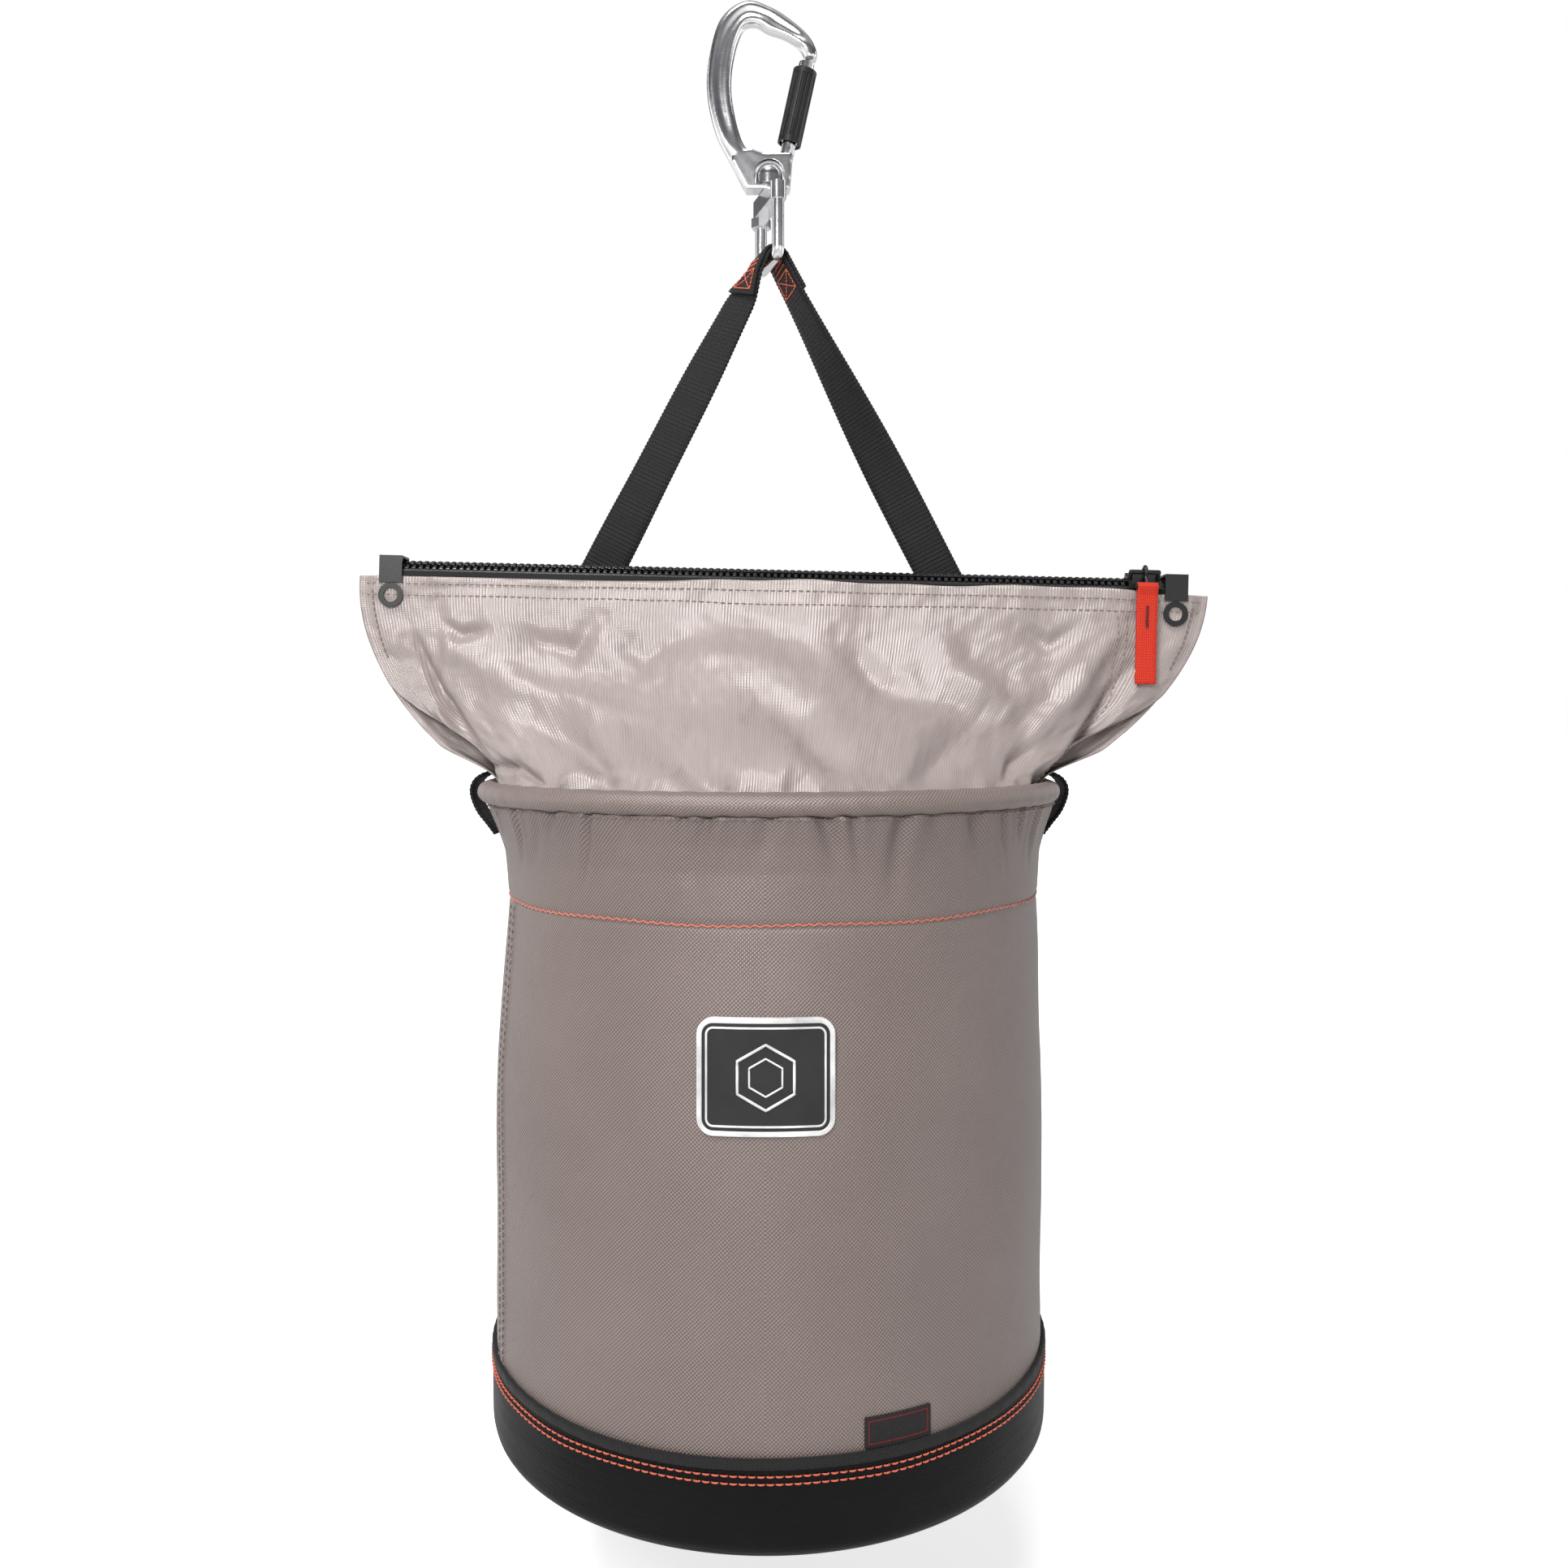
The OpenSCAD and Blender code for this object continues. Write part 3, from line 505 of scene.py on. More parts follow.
def stitches(name, lines, material, pitch=4.0, fill=0.78, radius=0.36, normals=()):
    """Runs of sewn stitches along paths: each stitch is a short strand that dips in at both ends."""
    bow, taper = np.array([-0.3, 0.14, 0.24, 0.14, -0.3])[:, None], np.array([0.7, 1, 1.05, 1, 0.7])
    parts = []
    for line, normal in zip(lines, normals):
        fine, length = resample(line, 0.25)
        count = max(1, int(round(length / pitch)))
        normal = np.asarray(normal, float)
        lift = columns(np.linspace(0, 1, len(fine)), np.linspace(0, 1, len(normal)), normal)
        for i in range(count):
            a, b = ((i + (1 + end * fill) / 2) / count * (len(fine) - 1) for end in (-1, 1))
            at = np.linspace(a, b, len(taper))
            low = np.floor(at).astype(int)
            high = np.minimum(low + 1, len(fine) - 1)
            part = (at - low)[:, None]
            points = fine[low] * (1 - part) + fine[high] * part + lift[low] * bow
            parts.append(tube_parts(points, radius * taper))
    return outward(add_mesh(name, *join_parts(parts), material))


def ribbon(name, samples, width, thick, material, rib, rib_pitch):
    """Woven tape along samples of (centre, width direction, normal), with cross ribs in its shape."""
    centre, wide, normal = (np.array([s[k] for s in samples], float) for k in range(3))
    run = run_length(centre)
    n = max(int(run[-1] / (rib_pitch / 5)), 8)
    at = np.linspace(0, run[-1], n)
    centre, wide, normal = (columns(at, run, values) for values in (centre, wide, normal))
    wide, normal = unit(wide), unit(normal)
    ripple = np.cos(2 * math.pi * at / rib_pitch)
    across = np.array([-1, -0.97, -0.6, -0.2, 0.2, 0.6, 0.97, 1])
    section = [(a, face * (1 if abs(a) < 0.99 else 0.25)) for face in (1, -1) for a in across[::face]]
    m = len(section)
    half_w = (width / 2 + rib * 0.9 * ripple)[:, None]
    half_t = (thick / 2 + rib * ripple - rib)[:, None]
    points = np.stack([centre + wide * half_w * a + normal * half_t * b for a, b in section], 1)
    i, j, _ = quads(n, m, wrap_cols=True)
    u = np.array([a * width / 2 for a, _ in section + section[:1]])
    uv = corners(u[j], u[j + 1], at[i], at[i + 1]).reshape(-1, 2)
    uvs = np.concatenate([uv, np.zeros((2 * m, 2))])
    return outward(add_mesh(name, points.reshape(-1, 3), tube_faces(n, m), material, uvs))


def ring_mesh(name, grid, radius, run, material):
    """A closed ring round the bucket from a grid of profile points by turns."""
    i, j, quad = quads(*grid.shape[:2], True, True)
    step = 2 * math.pi * radius / grid.shape[1]
    uv = corners(j * step, (j + 1) * step, run[i], run[i + 1]).reshape(-1, 2)
    return outward(add_mesh(name, grid.reshape(-1, 3), quad.tolist(), material, uv))


def bevel(obj, width, segments=2, angle=40):
    """Rounds the sharp edges of a piece, without changing its mesh."""
    made = obj.modifiers.new("rounded_edges", "BEVEL")
    made.width = width * MM
    made.segments = segments
    made.limit_method = "ANGLE"
    made.angle_limit = math.radians(angle)
    made.harden_normals = False
    return obj


def finish_piece(obj, body, slot, *nodes):
    """Puts a new piece on its body and hides what it stands for. slot is not used."""
    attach(obj, body)
    if nodes:
        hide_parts(*nodes)
    return obj


def smooth(x):
    c = np.clip(x, 0, 1)
    return c * c * (3 - 2 * c)


# ---- Bucket body ----


def angle_from(turn, centre):
    """Angle from a centre, from minus to plus half a turn."""
    return (turn - centre + math.pi) % (2 * math.pi) - math.pi


def bucket_radius(turn, z):
    """Outer radius of the cloth body, with its gathers, hem and side seam."""
    top = RIM_Z - BINDING_R
    base = np.interp(z, [0, HEM_Z - 90, HEM_Z, HEM_Z + 25, top - 14, top],
                     [BODY_R, BODY_R, BODY_R - HEM_PINCH, BODY_R - HEM_PINCH / 2, BODY_R + 1.2, RIM_R + 0.8])
    rise = np.clip((z - HEM_Z) / (top - HEM_Z), 0, 1)
    crease = np.zeros_like(base)
    draw = np.random.default_rng(7)
    for n in range(GATHERS):
        centre = 2 * math.pi * (n + draw.uniform(-0.35, 0.35)) / GATHERS
        lean, width = draw.uniform(-0.03, 0.05) - 0.1 * math.sin(centre), draw.uniform(0.012, 0.032)
        depth, reach = draw.uniform(1.2, 4.4), draw.uniform(0.3, 0.95)
        off = angle_from(turn + lean * (1 - rise) * 2, centre)
        fade = np.clip(1 - (1 - rise) / reach, 0, 1) ** 1.3
        crease -= depth * fade * np.exp(-(off / width) ** 2) * smooth(rise * 6)
        crease += 0.45 * depth * fade * np.exp(-((np.abs(off) - 1.9 * width) / width) ** 2)
    spots = np.stack([np.sin(turn) * 1.6, np.cos(turn) * 1.6, z / 70], -1).reshape(-1, 3)
    soft = np.array([noise.noise(Vector(spot)) for spot in spots]).reshape(np.shape(z))
    soft = soft * 1.5 * smooth((z - BAND_H) / 40)
    pinch = 4.0 * np.exp(-((z - HEM_Z) / 45) ** 2) * np.clip(-np.sin(turn), 0, 1) ** 2
    hem = 0.55 * smooth((z - HEM_Z + 1.2) / 1.2) - 0.7 * np.exp(-((z - HEM_Z) / 2.2) ** 2)
    from_seam = np.abs(angle_from(turn, SEAM_TURN)) * BODY_R
    lap = 0.7 * smooth((6.5 - from_seam) / 1.5) * (z < HEM_Z + 2)
    return base + np.maximum(crease, -4.5) * (rise > 0) + soft - pinch + hem + lap


def on_body(turn, z, lift=0.0):
    return around(turn, bucket_radius(turn, z) + lift, z)


def ring_normals(turn):
    return around(turn, 1.0, 0.0)


def build_body():
    cols, top = 480, RIM_Z - BINDING_R
    z = np.concatenate([np.linspace(CLOTH_FOOT, HEM_Z - 8, 38), np.linspace(HEM_Z - 4, HEM_Z + 4, 9),
                        np.linspace(HEM_Z + 6, top, 28)])
    zz, tt = np.meshgrid(z, turns(cols), indexing="ij")
    girth = 2 * math.pi * BODY_R
    u = np.tile(np.linspace(0, girth, cols + 1), (len(z), 1))
    v = np.tile(z[:, None], (1, cols + 1))
    body = shell("bucket_cloth", on_body(tt, zz), u, v, BODY_WALL, BODY_CLOTH, closed=True, inward=-1.0)
    finish_piece(body, "bag", "body_fabric", "body_panel")

    # Hem row, a coral zigzag right round
    steps = 2 * int(math.pi * BODY_R / 2.6)
    turn = turns(steps)
    zig = HEM_Z + np.where(np.arange(steps) % 2 == 0, 0.55, -0.55) + 0.48 * np.sin(turn * 9)
    hem = wire("hem_stitching", on_body(turn, zig, 0.25), 0.42, CORAL, 6, closed=True)
    finish_piece(hem, "bag", "body_fabric")

    # Side seam, two rows of topstitching
    z = np.linspace(BAND_H + 2, HEM_Z - 2, 200)
    rows = [on_body(np.full_like(z, SEAM_TURN + s / BODY_R), z, 0.2) for s in (-4.2, 4.2)]
    normals = [ring_normals(np.full_like(z, SEAM_TURN))] * 2
    seam = stitches("side_seam_stitching", rows, TAUPE, 4.2, 0.72, 0.4, normals)
    finish_piece(seam, "bag", "body_fabric")


def build_binding():
    ring = 28
    aa, tt = np.meshgrid(turns(ring), turns(420), indexing="ij")
    ripple = 0.22 * np.sin(tt * 61 + 2.2 * np.cos(aa) + 3 * np.sin(tt * 5))
    ripple = ripple * (0.4 + 0.6 * np.cos(aa - 2.4) ** 2)
    piping = 0.5 * np.exp(-((aa - 1.9) / 0.28) ** 2) - 0.35 * np.exp(-((aa - 1.25) / 0.2) ** 2)
    r = BINDING_R + ripple + piping - 0.15
    grid = around(tt, RIM_R + r * np.cos(aa), RIM_Z + r * np.sin(aa))
    run = np.arange(ring + 1) * 2 * math.pi * BINDING_R / ring
    finish_piece(ring_mesh("rim_cloth", grid, RIM_R, run, BINDING_CLOTH), "bag", "body_fabric", "rim_binding")

    # Stitching that closes the casing, under the hoop
    turn = np.linspace(0, 2 * math.pi, 720)
    line = on_body(turn, np.full_like(turn, RIM_Z - BINDING_R - 1.2), 0.35)
    row = stitches("casing_stitching", [line], TAUPE, 4.4, 0.7, 0.35, [ring_normals(turn)])
    finish_piece(row, "bag", "body_fabric")


def revolve(name, profile, cols, material, wobble):
    """Turns a closed profile of (radius, height) into a ring or a cup, with cloth coordinates."""
    profile = np.asarray(profile, float)
    turn = turns(cols)[None, :]
    r, z = wobble(*(np.tile(profile[:, k:k + 1], (1, cols)) for k in (0, 1)), turn)
    run = run_length(np.concatenate([profile, profile[:1]]))
    return ring_mesh(name, around(turn, r, z), BAND_R, run, material)


def band_wobble(turn):
    """How far the leather band stands out of true."""
    return np.sin(turn * 7) * 0.22 + np.sin(turn * 17 + 1) * 0.12


def build_base():
    corner, flat_r = CUP_CORNER, BAND_R - CUP_CORNER
    floor = [(r, 0.4 * smooth(1 - r / flat_r)) for r in np.linspace(2, flat_r - 3, 16)]
    bend = [(flat_r + corner * math.sin(a), corner - corner * math.cos(a))
            for a in np.linspace(0, math.pi / 2, 12)]
    side = [(BAND_R + 0.25 * math.sin(math.pi * t), corner + (BAND_H - 1 - corner) * t)
            for t in np.linspace(0.06, 1, 18)]
    top = [(BAND_R - 0.5, BAND_H), (BODY_R + 0.2, BAND_H), (BODY_R, BAND_H - 0.6)]
    inside = [(BODY_R, z) for z in np.linspace(BAND_H - 6, BAND_WALL + 2, 8)]
    inside += [(r, BAND_WALL) for r in np.linspace(BODY_R - 2, 2, 10)]
    cup = revolve("base_leather_cup", floor + bend + side + top + inside, 300, LEATHER,
                  lambda r, z, turn: (r + band_wobble(turn) * (r > BODY_R), z))
    # The ring's narrow inner faces are cut out, and the two middles closed
    bm = bmesh.new()
    bm.from_mesh(cup.data)
    inner = [f for f in bm.faces
             if all(math.hypot(v.co.x - ORIGIN.x, v.co.y - ORIGIN.y) < 2.5 * MM for v in f.verts)]
    bmesh.ops.delete(bm, geom=inner, context="FACES")
    bmesh.ops.holes_fill(bm, edges=[e for e in bm.edges if e.is_boundary], sides=0)
    bmesh.ops.recalc_face_normals(bm, faces=bm.faces)
    bm.to_mesh(cup.data)
    bm.free()
    finish_piece(cup, "bag", "base_leather", "base_cover")

    lo, hi, out = TAPE_LO.z, TAPE_HI.z, TAPE_HI.x
    edge = [(BODY_R + 0.35, hi - 0.2), (BODY_R + 0.5, hi), (out - 0.6, hi), (out - 0.1, hi - 0.6),
            (out, (lo + hi) / 2), (out - 0.1, lo + 0.5), (out - 0.5, lo), (BAND_R + 0.15, lo),
            (BAND_R + 0.1, hi - 1.4), (BODY_R + 0.35, hi - 1.4)]
    tape = revolve("base_edge_binding", edge, 480, TAPE, lambda r, z, turn: (
        r + 0.12 * np.sin(turn * 90 + 3 * np.sin(turn * 4)), z + 0.3 * np.sin(turn * 6 + 1)))
    finish_piece(tape, "bag", "black_tape", "base_edge_tape")

    turn = np.linspace(0, 2 * math.pi, 900)
    rows = [around(turn, BAND_R + 0.5 + band_wobble(turn), lo - drop + 0.25 * np.sin(turn * 11))
            for drop in (2.6, 6.2)]
    sewn = stitches("band_stitching", rows, ORANGE, 4.4, 0.8, 0.42, [ring_normals(turn)] * 2)
    finish_piece(sewn, "bag", "base_leather")


def rounded(w, h, c):
    """Outline of a rounded rectangle of half width w and half height h, with even points on its sides."""
    line = []
    for qx, qy, start in ((1, 1, 0), (-1, 1, 90), (-1, -1, 180), (1, -1, 270)):
        line += [(qx * (w - c) + c * math.cos(a), qy * (h - c) + c * math.sin(a))
                 for a in np.radians(np.linspace(start, start + 90, 7))]
        x0, y0 = line[-1]
        x1, y1 = (-x0, y0) if start in (0, 180) else (x0, -y0)
        line += [(x0 + (x1 - x0) * t, y0 + (y1 - y0) * t) for t in np.linspace(0, 1, 9)[1:-1]]
    return line


def plaque(name, width, height, corner, z, turn, steps, materials, picks, body_slot, node):
    """Rounded plate bent to the body. steps are (inset, height) rings from the foot to the middle."""
    rings = []
    for inset, lift in steps:
        line = rounded(width / 2 - inset, height / 2 - inset, max(corner - inset, 0.3))
        rings.append([(x, y, lift) for x, y in line])
    # The field closes with rings drawn in towards the middle
    rings += [[(x * shrink, y * shrink, lift) for x, y, lift in rings[-1]]
              for shrink in (0.75, 0.5, 0.25, 0.02)]
    m = len(rings[0])
    flat = [p for ring in rings for p in ring]
    faces = tube_faces(len(rings), m)
    chosen = [pick for pick in picks[:-1] + [picks[-1]] * 4 for _ in range(m)] + [picks[0], picks[-1]]
    bent = []
    for x, y, lift in flat:
        a = turn + x / BODY_R
        r = float(bucket_radius(np.array(a), np.array(z + y))) if lift <= 0 else BODY_R + lift + 0.3
        bent.append((r * math.sin(a), -r * math.cos(a), z + y))
    uvs = [(flat[i][0] * MM, flat[i][1] * MM) for face in faces for i in face]
    made = outward(add_mesh(name, bent, faces, materials, uvs, chosen, smooth=False))
    bevel(made, 0.18, 2, 30)
    finish_piece(made, "bag", body_slot, node)


def build_badge():
    lo, hi = (over_base(p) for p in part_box("front_badge"))
    z = (lo.z + hi.z) / 2
    steps = [(0, -0.4), (0, 0.9), (0.5, 1.1), (2.2, 1.1), (2.5, 0.8), (4.2, 0.8), (4.4, 1.0),
             (5.0, 1.0), (5.2, 0.8)]
    plaque("front_patch", hi.x - lo.x, hi.z - lo.z, 8, z, 0.0, steps, [BADGE_DARK, BADGE_PALE],
           [1, 1, 1, 1, 0, 1, 1, 1, 0], "badge", "front_badge")

    # Plain six-sided outline
    lines = []
    for size, radius in ((15.5, 0.75), (9.0, 0.5)):
        ends = [size * np.array([math.cos(a), math.sin(a)]) for a in np.radians(60 * np.arange(7) + 30)]
        flat = [p + (q - p) * t for p, q in zip(ends, ends[1:]) for t in np.linspace(0, 1, 8, endpoint=False)]
        x, y = np.array(flat).T
        lines.append(tube_parts(around(x / BODY_R, BODY_R + 1.15, z + y), radius, closed=True))
    mark = outward(add_mesh("patch_outline", *join_parts(lines), BADGE_PALE))
    finish_piece(mark, "bag", "badge")

    lo, hi = (over_base(p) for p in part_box("side_tag"))
    steps = [(0, -0.4), (0, 0.5), (0.2, 0.7), (0.9, 0.7), (1.0, 0.6), (1.7, 0.6), (1.8, 0.75),
             (2.2, 0.75), (2.3, 0.6)]
    plaque("woven_tag", TAG_W, hi.z - lo.z, 1.0, (lo.z + hi.z) / 2, TAG_TURN, steps, [TAG_DARK, TAG_RED],
           [0, 0, 0, 0, 0, 1, 1, 1, 0], "tag", "side_tag")


# ---- Collar ----


def reach(v):
    return COLLAR_HALF - (COLLAR_HALF - COLLAR_R) * (1 - v) ** 2


def collar_point(side, u, v):
    """The CAD's collar surface; u runs from -1 to 1 across, v from 0 at the rim to 1 at the zip."""
    half = 90 - RING_TURN if side < 0 else 90 + RING_TURN
    a = np.radians(u * half if side < 0 else 180 - u * half)
    ring_x, ring_y = COLLAR_R * np.sin(a), -COLLAR_R * np.cos(a)
    x = u * reach(v)
    q = np.abs(x) / (COLLAR_R - 3 - (COLLAR_R - 66) * v)
    if side < 0:
        lobe = np.maximum(0, 1 - (np.abs(u) / LOBE_REACH) ** 1.6) ** 1.3
        depth = COLLAR_FULL * np.sin(math.pi * np.minimum(v, 1) ** 0.55) + 120 * (1 - v) ** 2
    else:
        lobe = 1 - smooth(q)
        depth = 34 * np.sin(math.pi * np.minimum(v, 1) ** 0.5) + 130 * (1 - v) ** 2
    ear_y = -COLLAR_FWD - (COLLAR_R * math.sin(math.radians(RING_TURN)) - COLLAR_FWD) * (1 - v) ** 2
    apart = EAR_GAP + (ZIP_HALF[side] - EAR_GAP) * smooth((v - 0.6) / 0.4)
    # Both panels meet in a seam at the ears
    shut = smooth((np.abs(u) - 0.955) / 0.035)
    y = ear_y + side * (lobe * depth + apart * (1 - shut) + (COLLAR_WALL + 0.05) * shut)
    # The top hem lies over the zip tape, short of the corner tabs
    y = y + side * 1.2 * smooth((v - 0.955) / 0.02) * smooth((0.84 - np.abs(u)) / 0.02)
    mix = smooth(v / (0.5 if side < 0 else 0.22))
    slope = -x * math.tan(ZIP_TILT) * v
    return np.stack([ring_x * (1 - mix) + x * mix + COLLAR_SHIFT * v, ring_y * (1 - mix) + y * mix,
                     RIM_Z + COLLAR_H * v + slope], -1)


def crease(x, z, line, width, depth):
    """One drawn fold along a short line of (x, z) points, fading at its ends."""
    pts = np.asarray(line, float)
    best, where = np.full_like(x, 1e9), np.zeros_like(x)
    for i, (a, d) in enumerate(zip(pts, np.diff(pts, axis=0))):
        t = np.clip(((x - a[0]) * d[0] + (z - a[1]) * d[1]) / (d @ d), 0, 1)
        gap = np.hypot(x - a[0] - t * d[0], z - a[1] - t * d[1])
        closer = gap < best
        best = np.where(closer, gap, best)
        where = np.where(closer, (i + t) / (len(pts) - 1), where)
    return depth * np.exp(-(best / width) ** 2) * (0.25 + 0.75 * np.sin(math.pi * np.clip(where, 0.02, 0.98)))


# Folds of the front and of the back: (line of x, z), half width, depth outwards
FOLDS = {-1: [
    ([(-206, 455), (-186, 420), (-152, 384)], 4.5, -6.0),
    ([(-214, 452), (-196, 425), (-178, 398)], 5.0, 3.5),
    ([(-196, 460), (-176, 449), (-160, 451)], 3.2, -4.0),
    ([(-196, 455), (-160, 434), (-120, 418), (-80, 412)], 8.0, 6.0),
    ([(-150, 450), (-112, 444), (-95, 458)], 6.0, -4.5),
    ([(-100, 458), (-70, 440), (-50, 450)], 7.0, -3.5),
    ([(-128, 408), (-104, 398), (-88, 386), (-80, 370)], 7.0, -5.5),
    ([(-72, 404), (-46, 392), (-30, 378), (-24, 366)], 9.0, -5.0),
    ([(-60, 432), (-20, 440), (30, 430)], 16.0, 5.0),
    ([(-10, 420), (18, 408), (34, 392), (60, 384)], 9.0, -5.0),
    ([(40, 448), (62, 428), (84, 418)], 7.0, -4.5),
    ([(92, 452), (104, 428), (132, 412), (160, 420)], 11.0, 6.5),
    ([(110, 402), (92, 390), (76, 374)], 8.0, -4.5),
    ([(60, 402), (86, 404), (112, 398)], 8.0, 4.0),
    ([(196, 446), (176, 424), (150, 402), (136, 376)], 6.0, 4.5),
    ([(206, 430), (180, 402), (158, 378)], 4.5, -5.0),
    ([(150, 396), (134, 384), (126, 368)], 4.5, -4.0),
    ([(-152, 376), (-136, 384), (-118, 372)], 4.0, -3.5),
    ([(-120, 366), (-98, 380), (-74, 384)], 5.0, 3.0),
    ([(178, 452), (160, 444), (140, 452)], 5.0, -4.0),
], 1: [
    ([(-180, 452), (-120, 425), (-60, 405)], 8.0, 4.0),
    ([(190, 448), (130, 420), (70, 402)], 8.0, 4.0),
    ([(-60, 450), (-40, 420), (-55, 390)], 10.0, -4.0),
    ([(50, 452), (35, 420), (60, 388)], 10.0, -4.0),
    ([(-10, 440), (0, 410), (10, 380)], 12.0, 4.0),
]}


def crumple(grid, growth, frames=18, cap=11.0):
    """Lets a slightly oversized sheet buckle between its held edges, and returns how far it moved."""
    rows, cols = grid.shape[:2]
    flat = grid.reshape(-1, 3)
    work = add_mesh("crumple_work", flat, quads(rows, cols)[2].tolist(), COLLAR_CLOTH)
    pins = work.vertex_groups.new(name="held")
    ii, jj = np.meshgrid(np.arange(rows), np.arange(cols), indexing="ij")
    held = (ii == 0) | (ii >= rows - 2) | (jj <= 1) | (jj >= cols - 2)
    pins.add([int(q) for q in np.flatnonzero(held.ravel())], 1.0, "REPLACE")
    cloth = work.modifiers.new("sag", "CLOTH")
    for key, value in {"quality": 6, "mass": 0.25, "tension_stiffness": 18, "compression_stiffness": 18,
                       "shear_stiffness": 6, "bending_stiffness": 0.6, "vertex_group_mass": "held",
                       "shrink_min": -growth, "air_damping": 2.0}.items():
        setattr(cloth.settings, key, value)
    cloth.collision_settings.use_self_collision = False
    cloth.point_cache.frame_start, cloth.point_cache.frame_end = 1, frames
    scene = bpy.context.scene
    for step in range(1, frames + 1):
        scene.frame_set(step)
    evaluated = work.evaluated_get(bpy.context.evaluated_depsgraph_get())
    co = np.zeros(len(evaluated.data.vertices) * 3, np.float32)
    evaluated.data.vertices.foreach_get("co", co)
    moved = (co.reshape(-1, 3) - place(flat)) / MM
    size = np.linalg.norm(moved, axis=1, keepdims=True)
    moved *= cap * np.tanh(size / cap) / np.maximum(size, 1e-9)
    scene.frame_set(1)
    bpy.data.objects.remove(work, do_unlink=True)
    return moved.reshape(rows, cols, 3)


def upsample(small, u_old, v_old, u_new, v_new):
    """A field of moves on a coarse grid, read at a finer one's places."""
    middle = np.stack([columns(u_new, u_old, row) for row in small])
    return np.stack([columns(v_new, v_old, middle[:, j]) for j in range(len(u_new))], 1)


def soften(values, passes):
    """Averages a field of moves with its neighbours, so only its broad folds stay."""
    for _ in range(passes):
        for axis in (0, 1):
            edge = [(1, 1) if k == axis else (0, 0) for k in range(3)]
            wide = np.pad(values, edge, mode="edge")
            low, high = (np.take(wide, np.arange(values.shape[axis]) + k, axis=axis) for k in (0, 2))
            values = (values * 2 + low + high) / 4
    return values


def off_rings(grid):
    """0 at the grommets, 1 away from them."""
    away = np.ones(grid.shape[:2])
    for x in (COLLAR_SHIFT - RING_X, COLLAR_SHIFT + RING_X):
        away *= smooth((np.hypot(grid[..., 0] - x, grid[..., 2] - (ZIP_Z - RING_DROP)) - 9) / 16)
    return away


def folded(side, vs, us):
    """A panel with its drawn folds and the gathers along its foot."""
    grid = collar_point(side, us, vs)
    held = smooth(vs / 0.16) * smooth((0.97 - vs) / 0.14) * smooth((1 - np.abs(us)) / 0.07) * off_rings(grid)
    lift = sum(crease(grid[..., 0], grid[..., 2], *fold) for fold in FOLDS[side])
    gather = 1.6 * np.sin(us * 38 + 3 * np.sin(us * 9)) * smooth((1 - np.abs(us)) / 0.1)
    lift = 1.7 * lift * held + smooth(1 - vs / 0.35) * smooth(vs / 0.04) * gather
    return grid - side * grid_normals(grid) * lift[..., None]


def build_collar(side):
    rows, cols = 90, 320
    u, v = np.linspace(-1, 1, cols), np.linspace(0, 1, rows) ** 1.15
    vv, uu = np.meshgrid(v, u, indexing="ij")
    # The hem's edge waves over the tape, and leaves it bare towards the left
    rise = 2.6 + 0.7 * np.sin(u * 11 + 1) + 0.4 * np.sin(u * 27)
    rise = rise * smooth((u + 0.42) / 0.3) * smooth((0.84 - np.abs(u)) / 0.02) / COLLAR_H
    vv = vv + rise[None, :] * smooth((vv - 0.955) / 0.045)
    grid = folded(side, vv, uu)
    us, vs = np.linspace(-1, 1, 121), np.linspace(0, 1, 41)
    coarse = folded(side, *np.meshgrid(vs, us, indexing="ij"))
    moved = soften(crumple(coarse, 0.035 if side < 0 else 0.025), 7) * 1.3
    grid = grid + upsample(moved, us, vs, u, v) * off_rings(grid)[..., None]
    if side < 0:
        # Where the pull hangs with the zip open, folds only go inwards
        flat = collar_point(side, uu, vv)
        normal = grid_normals(flat)
        out = ((grid - flat) * normal).sum(2)
        near = 1 - smooth((np.abs(flat[..., 0] - PULL_STOP_X) - 9) / 9)
        near = near * smooth((flat[..., 2] - PULL_LOW_Z) / 15)
        grid = grid - normal * (np.maximum(out - 0.2, 0) * near)[..., None]
    name, cloth_v = FACING[side], RIM_Z + vv * COLLAR_H * 1.15
    made = shell("collar_cloth_" + name, grid, uu * COLLAR_HALF, cloth_v, COLLAR_WALL, COLLAR_CLOTH,
                 inward=side)
    finish_piece(made, "bag", "collar_fabric", "collar_" + name)
    return made, grid, u, v


def grid_line(side, grid, u, v, us, vs, lift):
    """Points on a panel at cloth places (us, vs), lifted off it, and their normals."""
    col, row = np.interp(us, u, np.arange(len(u))), np.interp(vs, v, np.arange(len(v)))
    j, i = np.clip(col.astype(int), 0, len(u) - 2), np.clip(row.astype(int), 0, len(v) - 2)
    fu, fv = (col - j)[:, None], (row - i)[:, None]

    def at(values):
        return ((values[i, j] * (1 - fu) + values[i, j + 1] * fu) * (1 - fv)
                + (values[i + 1, j] * (1 - fu) + values[i + 1, j + 1] * fu) * fv)

    n = at(-side * grid_normals(grid))
    return at(grid) + n * lift, n


